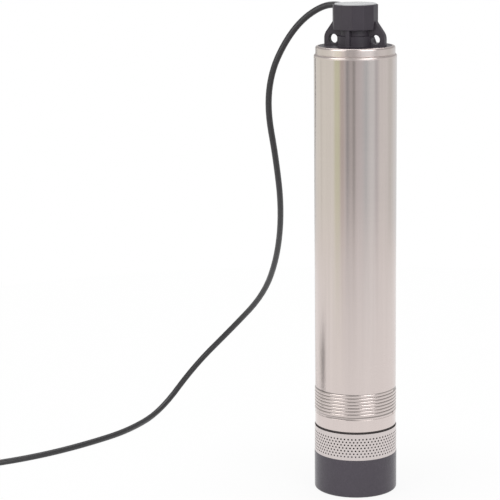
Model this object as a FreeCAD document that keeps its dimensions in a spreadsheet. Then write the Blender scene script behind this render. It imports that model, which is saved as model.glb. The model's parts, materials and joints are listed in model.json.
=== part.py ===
import FreeCAD, Part
import math
import os

import Sketcher

# Submersible pressure pump with a bottom intake: a slim steel shell on a plastic foot, a perforated
# strainer band, four stacked impellers, a dry motor in its own can, and a moulded discharge head with
# two rope eyes, a check valve and a cable gland.
# Millimetres, +Z up. The origin is the centre of the foot's underside. The rope eyes lie along X.

# Driving dimensions
SIZES = (
    ("foot_step", 1.1, "how far the foot stands out past the shell"),
    ("foot_height", 47.0, "height of the foot"),
    ("foot_rim", 8.0, "width of the ring that the foot stands on"),
    ("foot_dish", 5.0, "depth of the hollow under the foot"),
    ("foot_floor", 7.0, "thickness of the foot's floor"),
    ("foot_wall", 3.2, "wall of the foot's spigot"),
    ("foot_spigot", 5.0, "height of the spigot inside the strainer"),
    ("foot_edge", 1.6, "bevel of the foot's lower edge"),
    ("screw_inset", 12.1, "distance of the foot screws from the ring that the foot stands on"),
    ("screw_radius", 2.5, "radius of a foot screw"),
    ("screw_head_radius", 4.6, "radius of a foot screw's head"),
    ("screw_head_height", 3.0, "height of a foot screw's head"),
    ("screw_count", 3, "number of foot screws"),
    ("strainer_step", 0.8, "how far the strainer band stands out past the shell"),
    ("strainer_wall", 0.8, "sheet thickness of the strainer band"),
    ("strainer_height", 32.6, "height of the strainer band"),
    ("cage_wall", 4.0, "wall of the cage behind the strainer"),
    ("cage_rim", 4.0, "height of the cage's end rings"),
    ("cage_post", 8.0, "width of a cage post"),
    ("cage_posts", 4, "number of cage posts"),
    ("cage_pillar", 6.0, "radius of the cage's screw pillars"),
    ("seal_inset", 0.3, "how far the rubber seal stays inside the shell's radius"),
    ("seal_height", 2.4, "height of the rubber seal"),
    ("seal_width", 4.2, "radial width of the rubber seal"),
    ("clamp_step", 0.2, "how far the plain clamp ring stands out past the shell"),
    ("clamp_height", 15.0, "height of the plain clamp ring"),
    ("clamp_ledge", 3.2, "width of the ledge inside the plain clamp ring"),
    ("shell_radius", 49.0, "outer radius of the shell"),
    ("shell_wall", 1.0, "sheet thickness of the shell"),
    ("cap_rise", 8.9, "how far the end cap stands out of the shell"),
    ("shoulder_height", 3.0, "height of the shell's rolled shoulder"),
    ("ridge_count", 8, "number of rolled ridges"),
    ("ridge_pitch", 4.0, "distance between rolled ridges"),
    ("ridge_rise", 0.6, "height of a rolled ridge over its groove"),
    ("cap_slip", 0.8, "radial clearance of the steel end cap in the shell"),
    ("cap_wall", 1.2, "wall of the steel end cap"),
    ("cap_height", 32.0, "length of the steel end cap"),
    ("cap_rim", 3.6, "width of the end cap's inward rim"),
    ("cap_edge", 1.0, "bevel of the end cap's upper edge"),
    ("head_base_height", 10.0, "thickness of the head's base disc"),
    ("head_hub_rise", 0.7, "how far the head's hub stands over the end cap"),
    ("head_room", 20.5, "space between the motor and the head"),
    ("drum_wall", 7.3, "wall of the head's lower drum round the water channel"),
    ("drum_rise", 11.8, "height of the lower drum over the end cap"),
    ("neck_wall", 4.4, "wall of the head's neck under the collar"),
    ("collar_wall", 5.5, "wall of the twelve-sided collar at its corners"),
    ("collar_rise", 19.3, "height of the collar's underside over the end cap"),
    ("collar_height", 29.0, "height of the collar"),
    ("ear_margin", 6.1, "width of a rope ear outside its eye"),
    ("ear_thickness", 7.5, "thickness of the plate with the rope ears"),
    ("ear_height", 12.8, "height over the end cap where the ears start to slant"),
    ("ear_slant", 16.0, "further height where the ears meet the collar"),
    ("ear_round", 4.0, "rounding of the ears' outer corners"),
    ("sink", 1.0, "how far a rib or an arm runs into what carries it"),
    ("rope_hole_radius", 5.5, "radius of the rope eyes"),
    ("rope_hole_gap", 0.1, "distance between a rope eye and the drum"),
    ("rope_hole_lift", 2.1, "height of the rope eyes' lowest point over the end cap"),
    ("rib_step", 2.3, "how far the front and rear ribs stand out past the drum"),
    ("rib_thickness", 5.2, "thickness of the front and rear ribs"),
    ("channel_radius", 14.0, "radius of the water channel in the head"),
    ("outlet_depth", 24.0, "depth of the outlet's threaded part, with its lead-in"),
    ("outlet_radius", 19.5, "radius of the outlet's threaded wall"),
    ("lead_in_step", 2.0, "how much wider than the thread the plain lead-in is"),
    ("lead_in_depth", 4.0, "depth of the plain lead-in over the outlet"),
    ("plug_flange_step", 2.9, "how far the transport plug's flange reaches past the lead-in"),
    ("plug_flange_height", 1.2, "thickness of the transport plug's flange"),
    ("plug_skirt_height", 3.6, "length of the transport plug's skirt"),
    ("plug_skirt_wall", 1.4, "wall of the transport plug's skirt"),
    ("seat_height", 6.0, "height of the valve seat"),
    ("seat_wall", 5.0, "width of the valve seat's ring"),
    ("guide_radius", 3.2, "radius of the guide in the valve seat"),
    ("guide_arm", 2.0, "width of the arms that carry the guide"),
    ("guide_arms", 3, "number of the arms that carry the guide"),
    ("poppet_passage", 2.4, "width of the water passage round the valve poppet"),
    ("poppet_height", 2.4, "thickness of the valve poppet"),
    ("stem_radius", 1.5, "radius of the poppet's stem"),
    ("stem_foot_radius", 2.6, "radius of the stop at the stem's foot"),
    ("stem_foot_height", 2.4, "thickness of the stop at the stem's foot"),
    ("valve_lift", 6.0, "how far the poppet rises"),
    ("washer_height", 1.2, "thickness of the poppet's rubber washer"),
    ("cable_radius", 3.9, "radius of the power cable"),
    ("gland_bore", 6.0, "radius of the gland's bore"),
    ("gland_wall", 1.8, "wall of the gland's body"),
    ("gland_depth", 12.0, "length of the gland's body"),
    ("gland_room", 0.6, "distance between the rear rib and the gland nut"),
    ("collar_room", 5.5, "distance between the collar's corners and the gland's axis"),
    ("gland_drop", 8.2, "distance from the cable's first point down to the gland's mouth"),
    ("lead_clearance", 0.6, "radial clearance of the inner lead's hole past the gland's bore"),
    ("lead_drop", 23.0, "distance from the cable's first point down to the inner lead's bend"),
    ("nut_step", 0.5, "how far the gland nut's corners stand out past the gland's body"),
    ("nut_height", 4.5, "height of the gland nut"),
    ("nut_clearance", 0.4, "radial clearance of the gland nut's opening past the gland's bore"),
    ("relief_slack", 0.6, "radial clearance of the strain relief in the gland nut"),
    ("relief_root", 12.4, "length of the strain relief under the cable's first point"),
    ("relief_nose", 7.6, "length of the strain relief over the cable's first point"),
    ("relief_lip", 0.75, "wall of the strain relief at its tip"),
    ("motor_passage", 8.0, "width of the water passage round the motor can"),
    ("motor_wall", 1.0, "sheet thickness of the motor can"),
    ("motor_length", 236.0, "length of the motor can"),
    ("motor_cap_height", 12.0, "thickness of the motor's top cap"),
    ("cap_fin", 5.0, "width of the fins that centre the motor"),
    ("cap_fins", 4, "number of the fins that centre the motor"),
    ("fin_sink", 4.0, "how far the fins and lugs run into the disc that carries them"),
    ("cap_spigot", 6.0, "how far the motor's top cap reaches into the can"),
    ("stator_bore", 21.0, "radius of the stator's bore"),
    ("air_gap", 0.4, "gap between rotor and stator"),
    ("winding_height", 17.0, "height of the winding's end turns"),
    ("winding_margin", 5.0, "distance of the end turns from the motor can"),
    ("winding_inset", 2.0, "distance of the end turns from the stator's bore"),
    ("winding_clearance", 1.0, "gap between the end turns and the upper bracket"),
    ("winding_room", 9.0, "space between the lower cap and the end turns"),
    ("shaft_radius", 7.0, "radius of the shaft in the motor"),
    ("shaft_tail_radius", 6.0, "radius of the shaft in the stages"),
    ("shaft_clearance", 2.8, "radial clearance of the openings that the shaft passes without touching"),
    ("bearing_radius", 16.0, "outer radius of the shaft bearings"),
    ("bearing_height", 10.0, "height of the shaft bearings"),
    ("bracket_height", 14.0, "thickness of the upper bearing bracket"),
    ("lower_cap_height", 20.0, "thickness of the motor's lower cap"),
    ("capacitor_radius", 17.0, "radius of the run capacitor"),
    ("capacitor_height", 50.0, "height of the run capacitor"),
    ("capacitor_room", 12.0, "space between the run capacitor and the upper bracket"),
    ("carrier_height", 28.0, "height of the shaft seal's carrier"),
    ("carrier_lug", 12.0, "width of the carrier's lugs"),
    ("carrier_lugs", 4, "number of the carrier's lugs"),
    ("seal_land", 4.0, "thickness of the carrier's floor over the shaft seal"),
    ("seal_seat_height", 6.0, "height of the shaft seal's fixed seat"),
    ("seal_step", 3.0, "radial room round the shaft seal's turning ring"),
    ("stage_height", 36.0, "height of one pump stage"),
    ("stage_wall", 2.0, "wall of a stage casing"),
    ("eye_radius", 18.6, "radius of a stage's inlet eye"),
    ("impeller_passage", 9.8, "width of the water passage round an impeller"),
    ("impeller_height", 13.0, "height of an impeller between its shrouds' outsides"),
    ("shroud", 2.0, "thickness of an impeller's shrouds"),
    ("impeller_rise", 2.0, "gap between a stage's floor and its impeller"),
    ("eye_clearance", 0.4, "radial clearance of an impeller's eye in its stage"),
    ("hub_radius", 10.0, "radius of an impeller's hub"),
    ("vane_count", 6, "number of impeller vanes"),
    ("vane_root", 15.0, "radius where the impeller vanes start"),
    ("vane_wrap", 72.0, "angle that an impeller vane sweeps, in degrees"),
    ("vane_bend", 26.0, "radius of an impeller vane's curve"),
    ("vane_width", 2.0, "thickness of a vane"),
    ("vane_inset", 0.5, "distance of the vanes' tips from an impeller's edge"),
    ("diffuser_passage", 4.8, "width of the water passage round a diffuser's disc"),
    ("diffuser_root", 19.0, "radius where the return vanes start"),
    ("diffuser_rise", 6.0, "height of a diffuser's disc over its impeller's place"),
    ("diffuser_vanes", 5, "number of return vanes"),
    ("diffuser_wrap", 60.0, "angle that a return vane sweeps, in degrees"),
    ("diffuser_bend", 32.0, "radius of a return vane's curve"),
    ("suction_height", 8.0, "thickness of the suction plate"),
    ("fit", 0.05, "radial clearance of a running fit"),
    ("gap", 0.2, "radial clearance between pieces that are put together"),
    ("coil_radius", 70.0, "radius of the coiled cable at the middle of its turns"),
    ("coil_columns", 5, "turns of the coil side by side"),
    ("coil_layers", 4, "turns of the coil on top of each other"),
    ("tie_wall", 0.6, "thickness of the coil's ties"),
    ("tie_width", 12.0, "width of the coil's ties"),
    ("mains_radius", 19.0, "radius of the mains plug"),
    ("mains_length", 34.0, "length of the mains plug's body"),
    ("mains_neck", 22.0, "length of the mains plug's tapered neck"),
    ("mains_mouth", 1.5, "wall of the neck at the cable's end"),
    ("mains_root", 4.0, "wall of the neck at the plug's body"),
    ("mains_face", 15.2, "radius of the plug's body at the neck"),
    ("mains_step", 3.0, "height of the plug's first slope over the neck"),
    ("mains_slope", 12.0, "height over the neck where the plug's body has its full radius"),
    ("pin_radius", 2.4, "radius of a mains pin"),
    ("pin_length", 19.0, "length of a mains pin"),
    ("pin_spacing", 19.0, "distance between the mains pins"),
)
COLLAR_SIDES = 12
NUT_SIDES = 6
SHOULDER_STEPS = 3
STAGES = 4
# Share of the pitch that a ridge's slope takes on each side
RIDGE_SLOPE = 0.3
# How far a window's cut reaches past the cage's wall, as a share of the wall's radius
WINDOW_REACH = 1.2
# Share of the shorter run that an arc of the cable takes
ARC_SHARE = 0.45
# Height of the end cap's top for which the cable's route was chosen
ROUTE_CAP_TOP = 541.7
# How many of the route's first points move out with the gland
GLAND_POINTS = 5

# The cable's way from the gland, over the head's side, down behind the pump to the floor and round to
# the coil. Corners of the route, chosen by hand.
CABLE_ROUTE = (
    (0, 32.5, 554),
    (-8, 36, 569.5),
    (-22, 39, 581.5),
    (-40, 40, 586.5),
    (-60, 39, 584),
    (-85, 34, 567),
    (-105, 27, 539),
    (-121, 22, 502),
    (-131, 32, 455),
    (-134, 61, 393),
    (-147, 105, 318),
    (-181, 163, 242),
    (-230, 222, 174),
    (-295, 256, 114),
    (-351, 242, 55),
    (-369, 174, 4),
    (-364, 78, 4),
    (-382, 8, 4),
    (-409, -60, 4),
    (-445, -117, 4),
    (-490, -164, 4),
)
COIL_CENTRE = (-576, -114)
COIL_START = -67
COIL_END = 160
TAIL_ROUTE = (
    (-647, -57, 26),
    (-637, -30, 19),
    (-628, -4, 19),
)
TIE_ANGLES = (70, 250)

Vector = FreeCAD.Vector


class Size:
    """A length that knows its number and the expression that drives it."""

    def __init__(self, value, text):
        self.value = float(value)
        self.text = text

    @staticmethod
    def of(other):
        if isinstance(other, Size):
            return other
        return Size(other, repr(float(other)))

    def joined(self, other, sign, value):
        return Size(value, f"({self.text} {sign} {Size.of(other).text})")

    def __add__(self, other):
        return self.joined(other, "+", self.value + Size.of(other).value)

    def __sub__(self, other):
        return self.joined(other, "-", self.value - Size.of(other).value)

    def __mul__(self, other):
        return self.joined(other, "*", self.value * Size.of(other).value)

    def __truediv__(self, other):
        return self.joined(other, "/", self.value / Size.of(other).value)

    def __neg__(self):
        return self * -1


# Document and sheet
doc = FreeCAD.newDocument("SubmersiblePump")
sheet = doc.addObject("Spreadsheet::Sheet", "Sizes")
for row, (alias, number, note) in enumerate(SIZES, start=1):
    sheet.set(f"A{row}", note)
    sheet.set(f"B{row}", str(number))
    sheet.setAlias(f"B{row}", alias)
doc.recompute()
parts = []


def size(alias):
    """The sheet's value under this alias."""
    return Size(sheet.get(alias), f"Sizes.{alias}")


def count(alias):
    """A whole number from the sheet."""
    return int(sheet.get(alias))


def polar(radius, angle):
    """The two distances of a point at this radius and angle, in degrees, from the axis."""
    radius = Size.of(radius)
    angle = Size.of(angle)
    turn = math.radians(angle.value)
    across = Size(radius.value * math.cos(turn), f"({radius.text} * cos({angle.text} * 1deg))")
    along = Size(radius.value * math.sin(turn), f"({radius.text} * sin({angle.text} * 1deg))")
    return across, along


# Sketch and feature helpers
def keep(piece):
    """Add a finished piece to the list that is written out."""
    parts.append(piece)
    return piece


def new_body(label):
    """An empty body with the piece's name."""
    body = doc.addObject("PartDesign::Body", label)
    body.Label = label
    return body


def new_sketch(body, name, role, height=None, placement=None):
    """A sketch on one of the body's own planes, raised to a height or moved to a placement."""
    sketch = body.newObject("Sketcher::SketchObject", name)
    plane = [item for item in body.Origin.OriginFeatures if item.Role == role][0]
    sketch.AttachmentSupport = [(plane, "")]
    sketch.MapMode = "FlatFace"
    if placement is not None:
        sketch.AttachmentOffset = placement
    if height is not None:
        sketch.setExpression("AttachmentOffset.Base.z", Size.of(height).text)
    return sketch


def hold(sketch, kind, geometry, point, distance):
    """Hold a point of the sketch at a distance from its origin."""
    if abs(distance.value) < 1e-9:
        axis = -2 if kind == "DistanceX" else -1
        sketch.addConstraint(Sketcher.Constraint("PointOnObject", geometry, point, axis))
        return
    index = sketch.addConstraint(Sketcher.Constraint(kind, -1, 1, geometry, point, distance.value))
    sketch.setExpression(f"Constraints[{index}]", distance.text)


def draw_outline(sketch, points):
    """A closed outline of straight sides through points whose distances are bound to the sheet."""
    points = [(Size.of(across), Size.of(along)) for across, along in points]
    first = sketch.GeometryCount
    corners = [Vector(across.value, along.value, 0) for across, along in points]
    for start, end in zip(corners, corners[1:] + corners[:1]):
        sketch.addGeometry(Part.LineSegment(start, end))
    total = len(points)
    for index in range(total):
        following = first + (index + 1) % total
        sketch.addConstraint(Sketcher.Constraint("Coincident", first + index, 2, following, 1))
    for index, (across, along) in enumerate(points):
        hold(sketch, "DistanceX", first + index, 1, across)
        hold(sketch, "DistanceY", first + index, 1, along)


def draw_circle(sketch, across, along, radius):
    """A circle whose centre and radius are bound to the sheet."""
    across, along, radius = Size.of(across), Size.of(along), Size.of(radius)
    centre = Vector(across.value, along.value, 0)
    index = sketch.addGeometry(Part.Circle(centre, Vector(0, 0, 1), radius.value))
    hold(sketch, "DistanceX", index, 3, across)
    hold(sketch, "DistanceY", index, 3, along)
    bound = sketch.addConstraint(Sketcher.Constraint("Radius", index, radius.value))
    sketch.setExpression(f"Constraints[{bound}]", radius.text)


def draw_vane(sketch, root, tip, wrap, bend, width):
    """A curved vane: two arcs of one radius between a root and a tip circle, closed by short lines."""
    root_turn = width / root * (180 / math.pi)
    tip_turn = width / tip * (180 / math.pi)
    front = (polar(root, 0), polar(tip, wrap))
    back = (polar(root, root_turn), polar(tip, wrap + tip_turn))
    for inner, outer in (front, back):
        start = Vector(inner[0].value, inner[1].value, 0)
        end = Vector(outer[0].value, outer[1].value, 0)
        chord = end - start
        side = Vector(chord.y, -chord.x, 0).normalize()
        sag = bend.value - math.sqrt(bend.value ** 2 - (chord.Length / 2) ** 2)
        middle = (start + end) * 0.5 + side * sag
        sketch.addGeometry(Part.Arc(start, middle, end))
    ends = []
    for index, (inner, outer) in enumerate((front, back)):
        arc = sketch.Geometry[index]
        start_is_inner = (arc.StartPoint - Vector(inner[0].value, inner[1].value, 0)).Length < 1e-6
        near, far = (1, 2) if start_is_inner else (2, 1)
        for point, place in ((near, inner), (far, outer)):
            hold(sketch, "DistanceX", index, point, place[0])
            hold(sketch, "DistanceY", index, point, place[1])
        bound = sketch.addConstraint(Sketcher.Constraint("Radius", index, bend.value))
        sketch.setExpression(f"Constraints[{bound}]", bend.text)
        ends.append((near, far))
    for point in (0, 1):
        start = front[point]
        end = back[point]
        near_end = Vector(start[0].value, start[1].value, 0)
        far_end = Vector(end[0].value, end[1].value, 0)
        index = sketch.addGeometry(Part.LineSegment(near_end, far_end))
        sketch.addConstraint(Sketcher.Constraint("Coincident", index, 1, 0, ends[0][point]))
        sketch.addConstraint(Sketcher.Constraint("Coincident", index, 2, 1, ends[1][point]))


def add_turn(body, name, points, cut=False):
    """Turn an outline of radius and height about the axis, adding to the body or cutting it."""
    sketch = new_sketch(body, name + "_outline", "XZ_Plane")
    draw_outline(sketch, points)
    feature = body.newObject("PartDesign::Groove" if cut else "PartDesign::Revolution", name)
    feature.Profile = sketch
    feature.ReferenceAxis = (sketch, ["V_Axis"])
    feature.Angle = 360
    body.Tip = feature
    return feature


def add_pad(body, name, sketch, length, symmetric=False, cut=False, through=False, reverse=False):
    """Pad or pocket a sketch by a bound length."""
    feature = body.newObject("PartDesign::Pocket" if cut else "PartDesign::Pad", name)
    feature.Profile = sketch
    feature.Length = Size.of(length).value
    feature.setExpression("Length", Size.of(length).text)
    feature.Reversed = reverse
    if symmetric:
        feature.SideType = "Symmetric"
    if through:
        feature.Type = "ThroughAll"
    body.Tip = feature
    return feature


def add_polar_pattern(body, name, feature, times):
    """Repeat a feature round the axis."""
    pattern = body.newObject("PartDesign::PolarPattern", name)
    pattern.Originals = [feature]
    axis = [item for item in body.Origin.OriginFeatures if item.Role == "Z_Axis"][0]
    pattern.Axis = (axis, [""])
    pattern.Angle = 360
    pattern.Occurrences = times
    body.Tip = pattern
    return pattern


def soften(body, name, amount, wanted, bevel=False):
    """Round or bevel the edges of the body that the test picks."""
    doc.recompute()
    base = body.Tip
    names = [f"Edge{index}" for index, edge in enumerate(base.Shape.Edges, start=1) if wanted(edge)]
    feature = body.newObject("PartDesign::Chamfer" if bevel else "PartDesign::Fillet", name)
    feature.Base = (base, names)
    feature.setExpression("Size" if bevel else "Radius", amount.text)
    body.Tip = feature
    return feature


def is_rim(radius, height):
    """A test for the round edge at this radius and height."""
    def wanted(edge):
        curve = edge.Curve
        if not isinstance(curve, Part.Circle):
            return False
        return abs(curve.Radius - radius.value) < 0.01 and abs(curve.Center.z - height.value) < 0.01
    return wanted


def turned_piece(label, points):
    """A piece that is one outline turned about the axis."""
    body = new_body(label)
    add_turn(body, label + "_turn", points)
    return keep(body)


def bushing(label, inner, outer, bottom, top):
    """A plain ring."""
    return turned_piece(label, ((inner, bottom), (outer, bottom), (outer, top), (inner, top)))


# Places that several pieces share
foot_top = size("foot_height")
strainer_top = foot_top + size("strainer_height")
seal_top = strainer_top + size("seal_height")
clamp_top = seal_top + size("clamp_height")
foot_radius = size("shell_radius") + size("foot_step")
foot_opening = foot_radius - size("foot_rim")
screw_circle = foot_opening - size("screw_inset")
strainer_radius = size("shell_radius") + size("strainer_step")
strainer_bore = strainer_radius - size("strainer_wall")
seal_radius = size("shell_radius") - size("seal_inset")
clamp_radius = size("shell_radius") + size("clamp_step")
shell_bore = size("shell_radius") - size("shell_wall")
cap_radius = shell_bore - size("cap_slip")
cap_opening = cap_radius - size("cap_rim")
suction_top = seal_top + size("suction_height")
stages_top = suction_top + size("stage_height") * STAGES
cage_radius = strainer_bore - size("gap")
casing_radius = shell_bore - size("gap")
casing_bore = casing_radius - size("stage_wall")
motor_radius = shell_bore - size("motor_passage")
motor_bore = motor_radius - size("motor_wall")
shaft_opening = size("shaft_radius") + size("shaft_clearance")
motor_bottom = stages_top + size("carrier_height")
motor_top = motor_bottom + size("motor_length")
motor_cap_top = motor_top + size("motor_cap_height")
capacitor_top = motor_top - size("cap_spigot")
capacitor_bottom = capacitor_top - size("capacitor_height")
bracket_top = capacitor_bottom - size("capacitor_room")
bracket_bottom = bracket_top - size("bracket_height")
stator_top = bracket_bottom - size("winding_clearance") - size("winding_height")
stator_bottom = motor_bottom + size("lower_cap_height") + size("winding_room") + size("winding_height")
bearing_bore = size("shaft_radius") + size("fit")
head_bottom = motor_cap_top + size("head_room")
head_base_top = head_bottom + size("head_base_height")
cap_top = head_base_top + size("cap_wall")
shell_top = cap_top - size("cap_rise")
hub_top = cap_top + size("head_hub_rise")
# Foot of the ribs, sunk a little into the hub so that they join it
rib_foot = cap_top + size("head_hub_rise") / 2
drum_top = cap_top + size("drum_rise")
collar_bottom = cap_top + size("collar_rise")
collar_top = collar_bottom + size("collar_height")
drum_radius = size("channel_radius") + size("drum_wall")
neck_radius = size("channel_radius") + size("neck_wall")
lead_in_radius = size("outlet_radius") + size("lead_in_step")
collar_radius = lead_in_radius + size("collar_wall")
eye_reach = drum_radius + size("rope_hole_gap") + size("rope_hole_radius")
ear_radius = eye_reach + size("rope_hole_radius") + size("ear_margin")
ear_shoulder = cap_top + size("ear_height")
ear_top = ear_shoulder + size("ear_slant")
outlet_bottom = collar_top - size("outlet_depth")
base_radius = cap_radius - size("cap_wall") - size("gap")
gland_outside = size("gland_bore") + size("gland_wall")

past_rib = drum_radius + size("rib_step") + size("gland_room") + size("nut_step") + gland_outside
past_collar = collar_radius + size("collar_room")
gland_shift = max(past_rib.value, past_collar.value) - CABLE_ROUTE[0][1]
stretch = cap_top.value / ROUTE_CAP_TOP
route = [Vector(x, y, z * stretch) if z > CABLE_ROUTE[-1][2] else Vector(x, y, z) for x, y, z in CABLE_ROUTE]
for place in route[:GLAND_POINTS]:
    place.y += gland_shift
gland_axis = (route[1] - route[0]).normalize()


def gland_place(distance):
    """The placement on the gland's leaning axis, this far below the cable's first point."""
    return FreeCAD.Placement(route[0] - gland_axis * distance, FreeCAD.Rotation(Vector(0, 0, 1), gland_axis))


# Foot, strainer and intake
def make_foot():
    """Plastic foot: a cup that stands on its rim, with a spigot for the strainer band."""
    body = new_body("foot")
    floor_top = size("foot_dish") + size("foot_floor")
    spigot_top = foot_top + size("foot_spigot")
    bore = cage_radius - size("foot_wall")
    add_turn(body, "foot_cup", (
        (0, size("foot_dish")), (foot_opening, size("foot_dish")), (foot_opening, 0), (foot_radius, 0),
        (foot_radius, foot_top), (cage_radius, foot_top), (cage_radius, spigot_top), (bore, spigot_top),
        (bore, floor_top), (0, floor_top)))
    holes = new_sketch(body, "foot_screw_hole_sketch", "XY_Plane")
    draw_circle(holes, screw_circle, 0, size("screw_radius") + size("gap"))
    hole = add_pad(body, "foot_screw_hole", holes, floor_top * 2, symmetric=True, cut=True)
    add_polar_pattern(body, "foot_screw_holes", hole, count("screw_count"))
    soften(body, "foot_lower_edge", size("foot_edge"), is_rim(foot_radius, Size.of(0)), bevel=True)
    return keep(body)


def make_strainer():
    """Perforated steel band round the intake."""
    return bushing("strainer_band", strainer_bore, strainer_radius, foot_top, strainer_top)


def make_cage():
    """Plastic cage behind the strainer band, with windows between its posts and a floor for the screws."""
    body = new_body("intake_cage")
    inner = cage_radius - size("cage_wall")
    bottom = foot_top + size("foot_spigot")
    foot_floor_top = size("foot_dish") + size("foot_floor")
    boss = size("cage_pillar")
    add_turn(body, "cage_tube", (
        (inner, bottom), (cage_radius, bottom), (cage_radius, strainer_top), (inner, strainer_top)))
    window = new_sketch(body, "cage_window_sketch", "XY_Plane", bottom + size("cage_rim"))
    half = Size.of(180) / count("cage_posts") - size("cage_post") / cage_radius * (90 / math.pi)
    reach = cage_radius + size("cage_wall")
    near = inner - size("cage_wall")
    draw_outline(window, (
        polar(near, -half), polar(reach, -half), polar(reach * WINDOW_REACH, 0), polar(reach, half),
        polar(near, half)))
    height = strainer_top - bottom - size("cage_rim") * 2
    cut = add_pad(body, "cage_window", window, height, cut=True, reverse=True)
    add_polar_pattern(body, "cage_windows", cut, count("cage_posts"))
    spider = new_sketch(body, "cage_spider_sketch", "XY_Plane", bottom)
    root = size("shaft_radius")
    tip = inner + size("sink")
    draw_outline(spider, ((root, -boss), (tip, -boss), (tip, boss), (root, boss)))
    arm = add_pad(body, "cage_spider", spider, size("cage_rim"))
    add_polar_pattern(body, "cage_spiders", arm, count("screw_count"))
    pillar = new_sketch(body, "cage_pillar_sketch", "XY_Plane", foot_floor_top)
    draw_circle(pillar, screw_circle, 0, boss)
    post = add_pad(body, "cage_pillar", pillar, bottom - foot_floor_top + size("cage_rim"))
    add_polar_pattern(body, "cage_pillars", post, count("screw_count"))
    bore = new_sketch(body, "cage_bore_sketch", "XY_Plane", foot_floor_top)
    draw_circle(bore, screw_circle, 0, size("screw_radius"))
    drill = add_pad(body, "cage_bore", bore, foot_floor_top, cut=True, reverse=True)
    add_polar_pattern(body, "cage_bores", drill, count("screw_count"))
    return keep(body)


def make_foot_screws():
    """The screws that hold the foot to the cage, heads in the hollow under the foot."""
    solids = []
    dish = sheet.get("foot_dish")
    for index in range(count("screw_count")):
        angle = math.tau * index / count("screw_count")
        centre = Vector(screw_circle.value * math.cos(angle), screw_circle.value * math.sin(angle), dish)
        length = sheet.get("foot_floor") + sheet.get("foot_dish") * 2
        shank = Part.makeCylinder(sheet.get("screw_radius"), length, centre)
        top = centre - Vector(0, 0, sheet.get("screw_head_height"))
        head = Part.makeCylinder(sheet.get("screw_head_radius"), sheet.get("screw_head_height"), top)
        solids.append(shank.fuse(head).removeSplitter())
    screws = doc.addObject("Part::Feature", "foot_screws")
    screws.Shape = Part.makeCompound(solids)
    screws.Label = "foot_screws"
    return keep(screws)


def make_lower_rings():
    """Rubber seal, plain clamp ring and the suction plate that the clamp ring carries."""
    bushing("seal_ring", seal_radius - size("seal_width"), seal_radius, strainer_top, seal_top)
    ledge = clamp_radius - size("clamp_ledge")
    turned_piece("clamp_ring", (
        (ledge, seal_top), (clamp_radius, seal_top), (clamp_radius, clamp_top),
        (shell_bore, clamp_top), (shell_bore, suction_top), (ledge, suction_top)))
    plate = ledge - size("gap")
    turned_piece("suction_plate", (
        (size("eye_radius"), seal_top), (plate, seal_top), (plate, suction_top),
        (size("eye_radius"), suction_top)))


# Shell and end cap
def make_shell():
    """Steel shell: rolled ridges at its lower end and a rolled shoulder at its upper end."""
    body = new_body("shell")
    radius = size("shell_radius")
    crest = radius + size("ridge_rise")
    pitch = size("ridge_pitch")
    lip = cap_radius + size("gap")
    shoulder = shell_top - size("shoulder_height")
    outline = [(shell_bore, clamp_top)]
    for index in range(count("ridge_count")):
        start = clamp_top + pitch * index
        slope = pitch * RIDGE_SLOPE
        outline += [(radius, start), (crest, start + slope), (crest, start + pitch - slope)]
    outline.append((radius, clamp_top + pitch * count("ridge_count")))
    for step in range(SHOULDER_STEPS + 1):
        across, along = polar(1, 90 * step / SHOULDER_STEPS)
        outline.append((lip + (radius - lip) * across, shoulder + size("shoulder_height") * along))
    outline += [(lip, shell_top - size("shell_wall")), (shell_bore, shoulder - size("shell_wall"))]
    add_turn(body, "shell_tube", outline)
    return keep(body)


def make_end_cap():
    """Steel end cap that slides into the shell and holds the head's base disc down."""
    body = new_body("end_cap")
    inner = cap_radius - size("cap_wall")
    add_turn(body, "cap_cup", (
        (inner, cap_top - size("cap_height")), (cap_radius, cap_top - size("cap_height")),
        (cap_radius, cap_top), (cap_opening, cap_top), (cap_opening, head_base_top),
        (inner, head_base_top)))
    soften(body, "cap_upper_edge", size("cap_edge"), is_rim(cap_radius, cap_top), bevel=True)
    return keep(body)


# Discharge head
def make_head():
    """Moulded head: base disc, drum, neck, twelve-sided collar and ribs, bored for the cable gland."""
    body = new_body("discharge_head")
    hub = cap_opening - size("gap")
    add_turn(body, "head_core", (
        (0, head_bottom), (base_radius, head_bottom), (base_radius, head_base_top), (hub, head_base_top),
        (hub, hub_top), (drum_radius, hub_top), (drum_radius, drum_top),
        (neck_radius, drum_top), (neck_radius, collar_bottom), (0, collar_bottom)))
    collar = new_sketch(body, "collar_sketch", "XY_Plane", collar_bottom)
    draw_outline(collar, collar_corners())
    add_pad(body, "collar", collar, collar_top - collar_bottom)
    add_rib(body, "front_rib", -1)
    add_rib(body, "rear_rib", 1)
    add_turn(body, "head_channel", (
        (0, head_bottom), (size("channel_radius"), head_bottom), (size("channel_radius"), outlet_bottom),
        (size("outlet_radius"), outlet_bottom), (size("outlet_radius"), collar_top - size("lead_in_depth")),
        (lead_in_radius, collar_top - size("lead_in_depth")),
        (lead_in_radius, collar_top), (0, collar_top)), cut=True)
    mouth = gland_place(sheet.get("gland_drop"))
    socket = new_sketch(body, "gland_socket_sketch", "XY_Plane", placement=mouth)
    draw_circle(socket, 0, 0, gland_outside)
    add_pad(body, "gland_socket", socket, size("gland_depth"), cut=True)
    bore = new_sketch(body, "gland_bore_sketch", "XY_Plane", placement=gland_place(0))
    draw_circle(bore, 0, 0, size("gland_bore"))
    add_pad(body, "gland_bore", bore, collar_top - head_bottom, cut=True)
    bend = gland_place(sheet.get("lead_drop")).Base
    lead = new_sketch(body, "lead_hole_sketch", "XY_Plane", head_bottom)
    draw_circle(lead, bend.x, bend.y, size("gland_bore") + size("lead_clearance"))
    add_pad(body, "lead_hole", lead, size("head_base_height") / 2, cut=True, reverse=True)
    return keep(body)


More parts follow.
